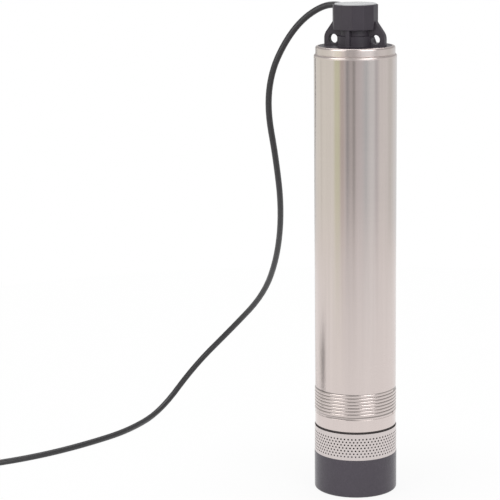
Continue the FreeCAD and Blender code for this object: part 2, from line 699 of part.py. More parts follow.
def collar_corners():
    """The corners of the twelve-sided collar, with a flat towards each ear."""
    return [polar(collar_radius, (side + 0.5) * 360 / COLLAR_SIDES) for side in range(COLLAR_SIDES)]


def make_ear(label, side):
    """A rope ear: a flat plate that slants up to the collar, with a rounded outer corner and a round eye."""
    body = new_body(label)
    reach = ear_radius * side
    inner = collar_radius * side
    root = size("channel_radius") * side
    plate = new_sketch(body, label + "_sketch", "XZ_Plane")
    draw_outline(plate, (
        (root, hub_top), (reach, hub_top), (reach, ear_shoulder), (inner, ear_top), (root, ear_top)))
    add_pad(body, label + "_plate", plate, size("ear_thickness"), symmetric=True)

    def is_corner(edge):
        middle = edge.CenterOfMass
        at_reach = abs(middle.x - reach.value) < 0.01
        return at_reach and abs(middle.y) < 0.01 and abs(middle.z - ear_shoulder.value) < 0.01
    soften(body, label + "_corner", size("ear_round"), is_corner)
    add_turn(body, label + "_seat", (
        (0, head_bottom), (drum_radius, head_bottom), (drum_radius, drum_top),
        (neck_radius, drum_top), (neck_radius, collar_top), (0, collar_top)), cut=True)
    collar = new_sketch(body, label + "_collar_sketch", "XY_Plane", collar_bottom)
    draw_outline(collar, collar_corners())
    add_pad(body, label + "_collar", collar, size("collar_height"), cut=True, reverse=True)
    hole = new_sketch(body, label + "_hole_sketch", "XZ_Plane")
    rise = size("rope_hole_lift") + size("rope_hole_radius")
    draw_circle(hole, eye_reach * side, cap_top + rise, size("rope_hole_radius"))
    add_pad(body, label + "_hole", hole, size("ear_thickness") * 2, symmetric=True, cut=True)
    return keep(body)


def add_rib(body, name, side):
    """An upright rib under the collar, on the given side of the ears."""
    sketch = new_sketch(body, name + "_sketch", "YZ_Plane")
    inner = size("channel_radius") * side
    outer = (drum_radius + size("rib_step")) * side
    top = collar_bottom + size("sink")
    draw_outline(sketch, ((inner, rib_foot), (outer, rib_foot), (outer, top), (inner, top)))
    add_pad(body, name, sketch, size("rib_thickness"), symmetric=True)


def make_head_seal():
    """Rubber ring between the head's base disc and the end cap."""
    bottom = head_bottom - size("seal_height")
    bushing("head_seal", base_radius - size("seal_width"), base_radius, bottom, head_bottom)


def make_outlet_plug():
    """Transport plug that closes the outlet: a flange on the collar and a short skirt in the lead-in."""
    skirt = lead_in_radius - size("gap")
    flange = lead_in_radius + size("plug_flange_step")
    top = collar_top + size("plug_flange_height")
    bottom = collar_top - size("plug_skirt_height")
    turned_piece("outlet_plug", (
        (0, collar_top), (skirt - size("plug_skirt_wall"), collar_top),
        (skirt - size("plug_skirt_wall"), bottom), (skirt, bottom), (skirt, collar_top),
        (flange, collar_top), (flange, top), (0, top)))


# Check valve
def make_valve():
    """Seat with a guide on three arms, and the poppet with its washer and stem."""
    body = new_body("valve_seat")
    seat_top = head_bottom + size("seat_height")
    outer = size("channel_radius") - size("fit")
    opening = size("channel_radius") - size("seat_wall")
    add_turn(body, "seat_ring", (
        (opening, head_bottom), (outer, head_bottom), (outer, seat_top), (opening, seat_top)))
    arm_sketch = new_sketch(body, "guide_arm_sketch", "XY_Plane", head_bottom)
    half = size("guide_arm") / 2
    reach = opening + size("sink")
    draw_outline(arm_sketch, ((0, -half), (reach, -half), (reach, half), (0, half)))
    arm = add_pad(body, "guide_arm", arm_sketch, size("seat_height") / 2)
    add_polar_pattern(body, "guide_arms", arm, count("guide_arms"))
    hub = new_sketch(body, "guide_hub_sketch", "XY_Plane", head_bottom)
    draw_circle(hub, 0, 0, size("guide_radius"))
    add_pad(body, "guide_hub", hub, size("seat_height") / 2)
    bore = new_sketch(body, "guide_bore_sketch", "XY_Plane", head_bottom)
    draw_circle(bore, 0, 0, size("stem_radius") + size("fit"))
    add_pad(body, "guide_bore", bore, size("seat_height") * 2, symmetric=True, cut=True)
    keep(body)
    washer_top = seat_top + size("washer_height")
    disc = size("channel_radius") - size("poppet_passage")
    bushing("valve_washer", size("stem_radius") + size("fit"), disc, seat_top, washer_top)
    poppet_top = washer_top + size("poppet_height")
    stop_top = head_bottom - size("valve_lift") - size("gap")
    stop_bottom = stop_top - size("stem_foot_height")
    turned_piece("valve_poppet", (
        (0, stop_bottom), (size("stem_foot_radius"), stop_bottom), (size("stem_foot_radius"), stop_top),
        (size("stem_radius"), stop_top), (size("stem_radius"), washer_top), (disc, washer_top),
        (disc, poppet_top), (0, poppet_top)))


# Cable gland
def make_gland():
    """Cable gland on its leaning axis: body in the head, nut, and tapered rubber strain relief."""
    sleeve = new_body("gland_body")
    wall = new_sketch(sleeve, "gland_body_sketch", "XY_Plane")
    draw_circle(wall, 0, 0, gland_outside)
    draw_circle(wall, 0, 0, size("gland_bore"))
    add_pad(sleeve, "gland_body_pad", wall, size("gland_depth"), reverse=True)
    sleeve.Placement = gland_place(sheet.get("gland_drop"))
    keep(sleeve)
    nut = new_body("gland_nut")
    sketch = new_sketch(nut, "nut_sketch", "XY_Plane")
    corner = gland_outside + size("nut_step")
    draw_outline(sketch, [polar(corner, side * 360 / NUT_SIDES) for side in range(NUT_SIDES)])
    draw_circle(sketch, 0, 0, size("gland_bore") - size("nut_clearance"))
    add_pad(nut, "nut_pad", sketch, size("nut_height"))
    nut.Placement = gland_place(sheet.get("gland_drop"))
    keep(nut)
    relief = new_body("strain_relief")
    grip = size("cable_radius") + size("fit")
    wide = size("gland_bore") - size("gap")
    narrow = size("gland_bore") - size("relief_slack")
    root = -size("relief_root")
    mouth = -size("gland_drop")
    add_turn(relief, "relief_turn", (
        (grip, root), (wide, root), (wide, mouth), (narrow, mouth), (narrow, mouth + size("nut_height")),
        (grip + size("relief_lip"), size("relief_nose")), (grip, size("relief_nose"))))
    relief.Placement = gland_place(0)
    keep(relief)


# Motor
def make_motor_housing():
    """Motor can, its top cap with centring fins, its lower cap and the upper bearing bracket."""
    bushing("motor_can", motor_bore, motor_radius, motor_bottom, motor_top)
    cap = new_body("motor_top_cap")
    spigot = motor_bore - size("gap")
    add_turn(cap, "top_cap_disc", (
        (0, capacitor_top), (spigot, capacitor_top), (spigot, motor_top),
        (motor_radius, motor_top), (motor_radius, motor_cap_top), (0, motor_cap_top)))
    fin_sketch = new_sketch(cap, "top_cap_fin_sketch", "XY_Plane", motor_top)
    half = size("cap_fin") / 2
    root = motor_radius - size("fin_sink")
    draw_outline(fin_sketch, ((root, -half), (base_radius, -half), (base_radius, half), (root, half)))
    fin = add_pad(cap, "top_cap_fin", fin_sketch, head_bottom - size("seal_height") - motor_top)
    add_polar_pattern(cap, "top_cap_fins", fin, count("cap_fins"))
    keep(cap)
    pocket = bracket_top - size("bearing_height")
    housing = size("bearing_radius") + size("fit")
    turned_piece("upper_bracket", (
        (shaft_opening, bracket_bottom), (spigot, bracket_bottom), (spigot, bracket_top),
        (housing, bracket_top), (housing, pocket), (shaft_opening, pocket)))
    bushing("upper_bearing", bearing_bore, size("bearing_radius"), pocket, bracket_top)
    lower_top = motor_bottom + size("lower_cap_height")
    lower_pocket = lower_top - size("bearing_height")
    turned_piece("motor_lower_cap", (
        (shaft_opening, motor_bottom), (spigot, motor_bottom), (spigot, lower_top),
        (housing, lower_top), (housing, lower_pocket), (shaft_opening, lower_pocket)))
    bushing("lower_bearing", bearing_bore, size("bearing_radius"), lower_pocket, lower_top)
    capacitor = doc.addObject("Part::Cylinder", "capacitor")
    capacitor.Label = "capacitor"
    capacitor.setExpression("Radius", size("capacitor_radius").text)
    capacitor.setExpression("Height", size("capacitor_height").text)
    capacitor.setExpression("Placement.Base.z", capacitor_bottom.text)
    keep(capacitor)


def make_motor_core():
    """Stator with its end turns, and the rotor."""
    bushing("stator_core", size("stator_bore"), motor_bore - size("gap"), stator_bottom, stator_top)
    solids = []
    for bottom in (stator_bottom - size("winding_height"), stator_top):
        narrow = sheet.get("stator_bore") + sheet.get("winding_inset")
        wide = motor_bore.value - sheet.get("winding_margin")
        solid = Part.makeCylinder(wide, sheet.get("winding_height"), Vector(0, 0, bottom.value))
        hollow = Part.makeCylinder(narrow, sheet.get("winding_height"), Vector(0, 0, bottom.value))
        solids.append(solid.cut(hollow))
    windings = doc.addObject("Part::Feature", "windings")
    windings.Shape = Part.makeCompound(solids)
    windings.Label = "windings"
    keep(windings)
    outer = size("stator_bore") - size("air_gap")
    bushing("rotor_core", size("shaft_radius"), outer, stator_bottom, stator_top)


def make_shaft():
    """One stepped shaft through the motor, the seal and the four stages, with the nut at its foot."""
    tail = size("shaft_tail_radius")
    turned_piece("shaft", (
        (0, strainer_top), (tail, strainer_top), (tail, stages_top),
        (size("shaft_radius"), stages_top), (size("shaft_radius"), bracket_top), (0, bracket_top)))
    bushing("shaft_nut", tail, size("hub_radius"), strainer_top, suction_top)


def make_shaft_seal():
    """Seal carrier with lugs that rest on the top stage, the seal's fixed seat and its turning ring."""
    body = new_body("seal_carrier")
    bottom = stages_top
    top = bottom + size("carrier_height")
    room = size("bearing_radius")
    seat_top = top - size("seal_land")
    add_turn(body, "carrier_disc", (
        (room, bottom), (motor_radius, bottom), (motor_radius, motor_bottom),
        (shaft_opening, motor_bottom), (shaft_opening, seat_top), (room, seat_top)))
    half = size("carrier_lug") / 2
    lug_sketch = new_sketch(body, "carrier_lug_sketch", "XY_Plane", bottom)
    root = motor_radius - size("fin_sink")
    reach = casing_radius - size("stage_wall") / 2
    draw_outline(lug_sketch, ((root, -half), (reach, -half), (reach, half), (root, half)))
    lug = add_pad(body, "carrier_lug", lug_sketch, size("carrier_height") / 2)
    add_polar_pattern(body, "carrier_lugs", lug, count("carrier_lugs"))
    keep(body)
    seat_bottom = seat_top - size("seal_seat_height")
    bushing("seal_seat", size("shaft_radius") + size("gap"), room, seat_bottom, seat_top)
    outer = room - size("seal_step")
    bushing("seal_rotor", size("shaft_radius"), outer, bottom + size("gap"), seat_bottom - size("fit"))


# Pump stages
def make_stage(number):
    """One stage: casing with an inlet eye, closed impeller and diffuser with return vanes."""
    bottom = suction_top + size("stage_height") * (number - 1)
    top = bottom + size("stage_height")
    floor_top = bottom + size("stage_wall")
    turned_piece(f"stage_casing_{number}", (
        (size("eye_radius"), bottom), (casing_radius, bottom), (casing_radius, top),
        (casing_bore, top), (casing_bore, floor_top), (size("eye_radius"), floor_top)))
    make_impeller(number, bottom)
    make_diffuser(number, top)


def make_impeller(number, bottom):
    """Closed impeller: upper shroud with hub, backward-curved vanes and a lower shroud with its eye."""
    label = f"impeller_{number}"
    body = new_body(label)
    low = bottom + size("stage_wall") + size("impeller_rise")
    high = low + size("impeller_height")
    eye = size("eye_radius") - size("eye_clearance")
    eye_bore = eye - size("shroud")
    top = bottom + size("stage_height")
    edge = casing_bore - size("impeller_passage")
    add_turn(body, label + "_hub", (
        (size("shaft_tail_radius"), bottom), (size("hub_radius"), bottom),
        (size("hub_radius"), high - size("shroud")), (edge, high - size("shroud")), (edge, high),
        (size("hub_radius"), high), (size("hub_radius"), top), (size("shaft_tail_radius"), top)))
    sketch = new_sketch(body, label + "_vane_sketch", "XY_Plane", low + size("shroud") / 2)
    tip = edge - size("vane_inset")
    draw_vane(sketch, size("vane_root"), tip, size("vane_wrap"), size("vane_bend"), size("vane_width"))
    vane = add_pad(body, label + "_vane", sketch, size("impeller_height") - size("shroud"))
    add_polar_pattern(body, label + "_vanes", vane, count("vane_count"))
    add_turn(body, label + "_shroud", (
        (eye_bore, bottom), (eye, bottom), (eye, low), (edge, low),
        (edge, low + size("shroud")), (eye_bore, low + size("shroud"))))
    return keep(body)


def make_diffuser(number, top):
    """Diffuser: a disc round the hub with return vanes that stand up to the next stage's floor."""
    label = f"diffuser_{number}"
    body = new_body(label)
    floor_top = top - size("stage_height") + size("stage_wall")
    disc = floor_top + size("impeller_height") + size("diffuser_rise")
    bore = size("hub_radius") + size("fit")
    edge = casing_bore - size("diffuser_passage")
    add_turn(body, label + "_disc", (
        (bore, disc), (edge, disc), (edge, disc + size("stage_wall")), (bore, disc + size("stage_wall"))))
    sketch = new_sketch(body, label + "_vane_sketch", "XY_Plane", disc)
    tip = casing_bore - size("gap")
    wrap = size("diffuser_wrap")
    draw_vane(sketch, size("diffuser_root"), tip, wrap, size("diffuser_bend"), size("vane_width"))
    vane = add_pad(body, label + "_vane", sketch, top - disc)
    add_polar_pattern(body, label + "_vanes", vane, count("diffuser_vanes"))
    return keep(body)


# Cable
def cable_solid(label, points):
    """A round cable along straight runs joined by tangent arcs, with its bend radii printed."""
    radius = sheet.get("cable_radius")
    edges = []
    radii = []
    last = points[0]
    for before, corner, after in zip(points, points[1:], points[2:]):
        back = before - corner
        ahead = after - corner
        half_turn = (math.pi - back.getAngle(ahead)) / 2
        trim = ARC_SHARE * min(back.Length, ahead.Length)
        bend = trim / math.tan(half_turn)
        start = corner + back.normalize() * trim
        end = corner + ahead.normalize() * trim
        inward = (back + ahead).normalize()
        middle = corner + inward * (bend / math.cos(half_turn) - bend)
        edges.append(Part.LineSegment(last, start).toShape())
        edges.append(Part.Arc(start, middle, end).toShape())
        radii.append(bend)
        last = end
    edges.append(Part.LineSegment(last, points[-1]).toShape())
    path = Part.Wire(edges)
    heading = (points[1] - points[0]).normalize()
    section = Part.Wire(Part.Circle(points[0], heading, radius).toShape())
    solid = path.makePipeShell([section], True, False)
    expected = math.pi * radius ** 2 * path.Length
    print(f"{label}: length {path.Length:.0f} mm, radii {[round(bend) for bend in radii]}, "
          f"volume ratio {solid.Volume / expected:.5f}")
    piece = doc.addObject("Part::Feature", label)
    piece.Shape = solid
    piece.Label = label
    return keep(piece)


def coil_point(angle, radius, height):
    """A point on a turn of the coil."""
    turn = math.radians(angle)
    return Vector(COIL_CENTRE[0] + radius * math.cos(turn), COIL_CENTRE[1] + radius * math.sin(turn), height)


def make_cable():
    """The lead inside the pump, the free cable, its coil with ties, the tail and the mains plug."""
    thick = sheet.get("cable_radius") * 2
    outer_turn = sheet.get("coil_radius") + thick * (count("coil_columns") - 1) / 2
    inner_edge = outer_turn - thick * (count("coil_columns") - 0.5)
    lead_bend = gland_place(sheet.get("lead_drop")).Base
    lead_end = Vector(lead_bend.x, lead_bend.y, motor_cap_top.value)
    cable_solid("inner_lead", [route[0], lead_bend, lead_end])
    cable_solid("power_cable", route + [coil_point(COIL_START, outer_turn, route[-1].z)])
    wall = sheet.get("tie_wall")
    height = thick * count("coil_layers")
    tail_start = coil_point(COIL_END, outer_turn, wall + height - thick / 2)
    tail = [tail_start] + [Vector(*point) for point in TAIL_ROUTE]
    cable_solid("cable_tail", tail)
    make_coil(inner_edge, outer_turn + thick / 2, height)
    make_mains_plug(tail[-1], tail[-1] - tail[-2])


def ring_solid(inner, outer, bottom, top):
    """A plain ring about the coil's axis."""
    base = Vector(*COIL_CENTRE, bottom)
    return Part.makeCylinder(outer, top - bottom, base).cut(Part.makeCylinder(inner, top - bottom, base))


def make_coil(inner, outer, height):
    """The coil's outer shape, and the two straps that hold its turns and lie under it."""
    wall = sheet.get("tie_wall")
    width = sheet.get("tie_width")
    shape = ring_solid(inner, outer, wall, wall + height)
    coil = doc.addObject("Part::Feature", "cable_coil")
    coil.Shape = shape
    coil.Label = "cable_coil"
    keep(coil)
    sleeve = ring_solid(inner - wall, outer + wall, 0, height + wall * 2).cut(shape)
    solids = []
    for angle in TIE_ANGLES:
        slab = Part.makeBox(outer + wall * 2, width, height + wall * 2, Vector(0, -width / 2, 0))
        slab.Placement = FreeCAD.Placement(Vector(*COIL_CENTRE, 0), FreeCAD.Rotation(Vector(0, 0, 1), angle))
        solids += sleeve.common(slab).Solids
    ties = doc.addObject("Part::Feature", "coil_ties")
    ties.Shape = Part.makeCompound(solids)
    ties.Label = "coil_ties"
    keep(ties)


def make_mains_plug(entry, heading):
    """Mains plug lying on the floor at the end of the tail: body with a tapered neck, and two pins."""
    level = Vector(heading.x, heading.y, 0).normalize()
    place = FreeCAD.Placement(entry, FreeCAD.Rotation(Vector(0, 0, 1), level))
    body = new_body("mains_plug")
    radius = size("mains_radius")
    neck = size("mains_neck")
    full = neck + size("mains_length")
    mouth = size("cable_radius") + size("mains_mouth")
    root = size("cable_radius") + size("mains_root")
    add_turn(body, "plug_turn", (
        (0, 0), (mouth, 0), (root, neck), (size("mains_face"), neck + size("mains_step")),
        (radius, neck + size("mains_slope")), (radius, full), (0, full)))
    body.Placement = place
    keep(body)
    solids = []
    for side in (-1, 1):
        offset = Vector(0, side * sheet.get("pin_spacing") / 2, full.value)
        solids.append(Part.makeCylinder(sheet.get("pin_radius"), sheet.get("pin_length"), offset))
    pins = doc.addObject("Part::Feature", "mains_pins")
    pins.Shape = Part.makeCompound(solids)
    pins.Placement = place
    pins.Label = "mains_pins"
    keep(pins)


def write_parts():
    """Stop on anything that failed, then write each piece to its own file."""
    doc.recompute()
    for item in doc.Objects:
        if "Invalid" in item.State or "Error" in item.State:
            raise RuntimeError(f"{item.Label} failed: {item.State}")
    os.makedirs("parts", exist_ok=True)
    for piece in parts:
        shape = piece.Shape
        if shape.isNull() or not shape.isValid():
            raise RuntimeError(f"{piece.Label} has no valid shape")
        shape.exportStep(os.path.join("parts", piece.Label + ".step"))
    print(len(parts), "pieces written")


make_foot()
make_strainer()
make_cage()
make_foot_screws()
make_lower_rings()
make_shell()
make_end_cap()
make_head()
make_ear("left_rope_ear", -1)
make_ear("right_rope_ear", 1)
make_head_seal()
make_outlet_plug()
make_valve()
make_gland()
make_motor_housing()
make_motor_core()
make_shaft()
make_shaft_seal()
for stage_number in range(1, STAGES + 1):
    make_stage(stage_number)
make_cable()
write_parts()
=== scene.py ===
"""The looks of a slim upright submersible pump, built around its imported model."""
import json
import logging
import math
from collections.abc import Callable, Sequence
from dataclasses import dataclass
from enum import Enum

import bpy
from mathutils import Matrix, Vector


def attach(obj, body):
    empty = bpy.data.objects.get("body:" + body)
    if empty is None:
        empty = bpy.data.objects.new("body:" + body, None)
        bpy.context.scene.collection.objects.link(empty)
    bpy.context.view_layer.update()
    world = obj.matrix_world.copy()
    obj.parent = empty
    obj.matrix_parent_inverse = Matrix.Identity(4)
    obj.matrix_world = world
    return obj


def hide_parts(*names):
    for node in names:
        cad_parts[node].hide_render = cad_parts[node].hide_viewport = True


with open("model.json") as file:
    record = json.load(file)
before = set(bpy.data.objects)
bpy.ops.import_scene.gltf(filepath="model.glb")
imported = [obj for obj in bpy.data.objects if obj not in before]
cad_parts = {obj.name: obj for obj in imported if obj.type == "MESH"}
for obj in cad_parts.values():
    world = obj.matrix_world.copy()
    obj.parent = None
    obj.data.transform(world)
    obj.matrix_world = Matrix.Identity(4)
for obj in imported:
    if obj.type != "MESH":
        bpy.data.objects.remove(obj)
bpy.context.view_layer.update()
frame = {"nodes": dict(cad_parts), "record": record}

MM = 0.001
DOUBLES = 0.01 * MM
FULL_TURN = 2.0 * math.pi
ORIGIN = (0, 0, 0)
NOISE_MIDDLE = 0.5
# How many finer layers a noise has.
FEW_LAYERS = 2.0
SOME_LAYERS = 3.0
MANY_LAYERS = 4.0
# What the wave texture multiplies its coordinates by.
WAVE_FACTOR = 20.0
# The angle in degrees at which the rounding of each kind of corner starts; it turns a quarter left.
TOP_CORNER = 0.0
LOW_CORNER = -90.0
INNER_CORNER = 180.0
HEXAGON = 6
RING_SIDES = 96
WHITE = (1.0, 1.0, 1.0, 1.0)
log = logging.getLogger("pump")

Colour = tuple[float, float, float]
Place = tuple[float, float, float]
Pair = tuple[float, float]
Outline = Sequence[Pair]
Piece = bpy.types.Object
Socket = bpy.types.NodeSocket


class Body(Enum):
    """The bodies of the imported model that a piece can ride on."""

    PUMP = "pump"
    PLUG = "plug"


class Slot(Enum):
    """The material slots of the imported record."""

    STEEL = "steel"
    BLACK_PLASTIC = "black_plastic"
    GREY_PLASTIC = "grey_plastic"
    PLUG_PLASTIC = "plug_plastic"
    IMPELLER_PLASTIC = "impeller_plastic"
    RUBBER = "rubber"
    FABRIC_TIE = "fabric_tie"
    BRASS = "brass"
    CAST_METAL = "cast_metal"
    LAMINATIONS = "laminations"
    COPPER = "copper"
    CERAMIC = "ceramic"


class Ends(Enum):
    """How a turned outline is closed."""

    JOINED = "the last loop is bridged to the first"
    CAPPED = "a flat face closes the first and the last loop"


class Element(Enum):
    """What a selection consists of: its name in edit mode and its list in the mesh."""

    CORNER = ("VERT", "vertices")
    EDGE = ("EDGE", "edges")
    FACE = ("FACE", "polygons")


def solid(colour: Colour) -> tuple[float, float, float, float]:
    """Gives a colour its opaque fourth number."""
    return (*colour, 1.0)


class Term:
    """A socket in an expression, where each operator adds one Math node."""

    def __init__(self, sheet: "NodeSheet", socket: Socket) -> None:
        """Keeps the output socket that the term stands for, and the sheet that new nodes go on."""
        self.sheet = sheet
        self.socket = socket

    def joined(self, operation: str, first: "Term | float", second: "Term | float") -> "Term":
        """Adds a Math node on two values or terms and gives its output."""
        return self.sheet.term("Math", settings={"operation": operation}, inputs={0: first, 1: second})

    def __add__(self, other: "Term | float") -> "Term":
        """Adds a value or term."""
        return self.joined("ADD", self, other)

    def __radd__(self, other: float) -> "Term":
        """Adds this term to a number."""
        return self.joined("ADD", other, self)

    def __sub__(self, other: "Term | float") -> "Term":
        """Takes a value or term away."""
        return self.joined("SUBTRACT", self, other)

    def __rsub__(self, other: float) -> "Term":
        """Takes this term from a number."""
        return self.joined("SUBTRACT", other, self)

    def __mul__(self, other: "Term | float") -> "Term":
        """Multiplies by a value or term."""
        return self.joined("MULTIPLY", self, other)

    def __rmul__(self, other: float) -> "Term":
        """Multiplies a number by this term."""
        return self.joined("MULTIPLY", other, self)

    def larger(self, other: "Term | float") -> "Term":
        """Takes the larger of this and another."""
        return self.joined("MAXIMUM", self, other)

    def power(self, other: "Term | float") -> "Term":
        """Raises this to a power."""
        return self.joined("POWER", self, other)

    def turned(self, other: "Term | float") -> "Term":
        """Gives the angle of a direction from its second and first parts."""
        return self.joined("ARCTAN2", self, other)

    def ranged(self, low: float, high: float) -> "Term":
        """Gives 0 up to the low value, 1 from the high value, and a soft step between them."""
        inputs = {0: self, 1: low, 2: high, 3: 0.0, 4: 1.0}
        return self.sheet.term("MapRange", settings={"interpolation_type": "SMOOTHSTEP"}, inputs=inputs)

    def within(self, low: float, high: float, edge: float) -> "Term":
        """Gives 1 between two values, and fades to 0 over an edge beyond each."""
        return self.ranged(low - edge, low) * (1.0 - self.ranged(high, high + edge))


Setting = str | int | float | bool | list | Piece
Link = Term | Socket | float | tuple


class NodeSheet:
    """A node tree that is filled one node at a time."""

    def __init__(self, tree: bpy.types.NodeTree) -> None:
        """Takes a material's or the world's node tree and empties it."""
        self.tree = tree
        tree.nodes.clear()

    def add(
        self,
        kind: str,
        settings: dict[str, Setting] | None = None,
        inputs: dict[str | int, Link] | None = None,
    ) -> bpy.types.Node:
        """Adds a node, sets it up, and then fills its sockets.

        Args:
            kind: The shader node's type, without the words that all types start with.
            settings: The node's own properties; "stops" are the stops of a ramp.
            inputs: A value, a socket or a term for each named or numbered input.

        Returns:
            The new node.
        """
        made = self.tree.nodes.new("ShaderNode" + kind)
        for name, value in (settings or {}).items():
            if name == "stops":
                self.set_stops(made.color_ramp, value)
            else:
                setattr(made, name, value)
        for name, value in (inputs or {}).items():
            if isinstance(value, Term):
                self.tree.links.new(value.socket, made.inputs[name])
            elif isinstance(value, Socket):
                self.tree.links.new(value, made.inputs[name])
            else:
                made.inputs[name].default_value = value
        return made

    @staticmethod
    def set_stops(ramp: bpy.types.ColorRamp, stops: list[tuple[float, Colour]]) -> None:
        """Sets a ramp's stops.

        Args:
            ramp: The ramp.
            stops: A position from 0 to 1 and a colour for each stop.
        """
        while len(ramp.elements) > 1:
            ramp.elements.remove(ramp.elements[-1])
        ramp.elements[0].position = stops[0][0]
        ramp.elements[0].color = solid(stops[0][1])
        for position, colour in stops[1:]:
            ramp.elements.new(position).color = solid(colour)

    def term(self, kind: str, output: str | int = 0, **parts: dict) -> Term:
        """Adds a node and gives one of its outputs as a term."""
        return Term(self, self.add(kind, **parts).outputs[output])

    def noise(self, where: Link, scale: float, layers: float = SOME_LAYERS, roughness: float = 0.5) -> Term:
        """Adds a noise with so many lumps to the metre and finer layers, around one half."""
        inputs = {"Vector": where, "Scale": scale, "Detail": layers, "Roughness": roughness}
        return self.term("TexNoise", inputs=inputs)

    def stretched(self, where: Link, scale: Place) -> Socket:
        """Scales coordinates by a different amount along each axis."""
        return self.add("Mapping", None, {"Vector": where, "Scale": scale}).outputs[0]

    def blended(self, amount: Link, first: Link, second: Link) -> Socket:
        """Mixes two colours by the share of the second."""
        settings = {"data_type": "RGBA", "clamp_factor": True}
        return self.add("Mix", settings, {0: amount, 6: first, 7: second}).outputs[2]

    def parts(self, where: Link) -> list[Term]:
        """Splits a vector into its three parts."""
        made = self.add("SeparateXYZ", None, {0: where})
        return [Term(self, output) for output in made.outputs]

    def distance(self, where: Link, point: Place) -> Term:
        """Measures how far the coordinates are from a point."""
        inputs = {0: where, 1: point}
        return self.term("VectorMath", 1, settings={"operation": "DISTANCE"}, inputs=inputs)

    def ramped(self, value: Link, stops: list[tuple[float, Colour]]) -> Socket:
        """Turns a value into a colour by a ramp's stops."""
        return self.add("ValToRGB", {"stops": stops}, {0: value}).outputs[0]

    def chosen(self, share: Link, first: bpy.types.Node, second: bpy.types.Node) -> bpy.types.Node:
        """Mixes two shader nodes by the share of the second."""
        return self.add("MixShader", None, {0: share, 1: first.outputs[0], 2: second.outputs[0]})


@dataclass(frozen=True)
class Finish:
    """A surface finish that is made once and shared by the pieces that have it."""

    name: str
    slot: Slot
    tint: Colour
    roughness: float

    def material(self) -> bpy.types.Material:
        """Finds the finish's material, or builds it."""
        return bpy.data.materials.get(self.name) or self.build()

    def build(self) -> bpy.types.Material:
        """Makes the material and joins its shader to the output.

        Returns:
            The new material.
        """
        made = bpy.data.materials.new(self.name)
        made.use_nodes = True
        sheet = NodeSheet(made.node_tree)
        where = sheet.add("TexCoord").outputs["Object"]
        shader = sheet.add("BsdfPrincipled", None, self.surface(sheet, where))
        sheet.add("OutputMaterial", None, {"Surface": shader.outputs[0]})
        return made

    def surface(self, sheet: NodeSheet, where: Socket) -> dict[str, Link]:
        """Adds the nodes of the surface; each kind of finish has its own.

        Args:
            sheet: The sheet that the nodes go on.
            where: The object coordinates.

        Returns:
            What goes into each socket of the shader.
        """
        raise NotImplementedError

    def shaded(self, factor: float) -> tuple[float, float, float, float]:
        """Gives the tint made darker or lighter by a factor."""
        return solid(tuple(min(1.0, part * factor) for part in self.tint))

    def sheen(self, *patterns: tuple[Term, float]) -> Term:
        """Varies the roughness by each pattern, as strongly as the number beside it says."""
        changes = [(pattern - NOISE_MIDDLE) * strength for pattern, strength in patterns]
        return sum(changes[1:], changes[0]) + self.roughness

    @staticmethod
    def raised(sheet: NodeSheet, height: Link, depth: float) -> Socket:
        """Adds a bump from a height between 0 and 1, and how deep the whole of it is in metres."""
        inputs = {"Strength": 1.0, "Distance": depth, "Height": height}
        return sheet.add("Bump", None, inputs).outputs[0]


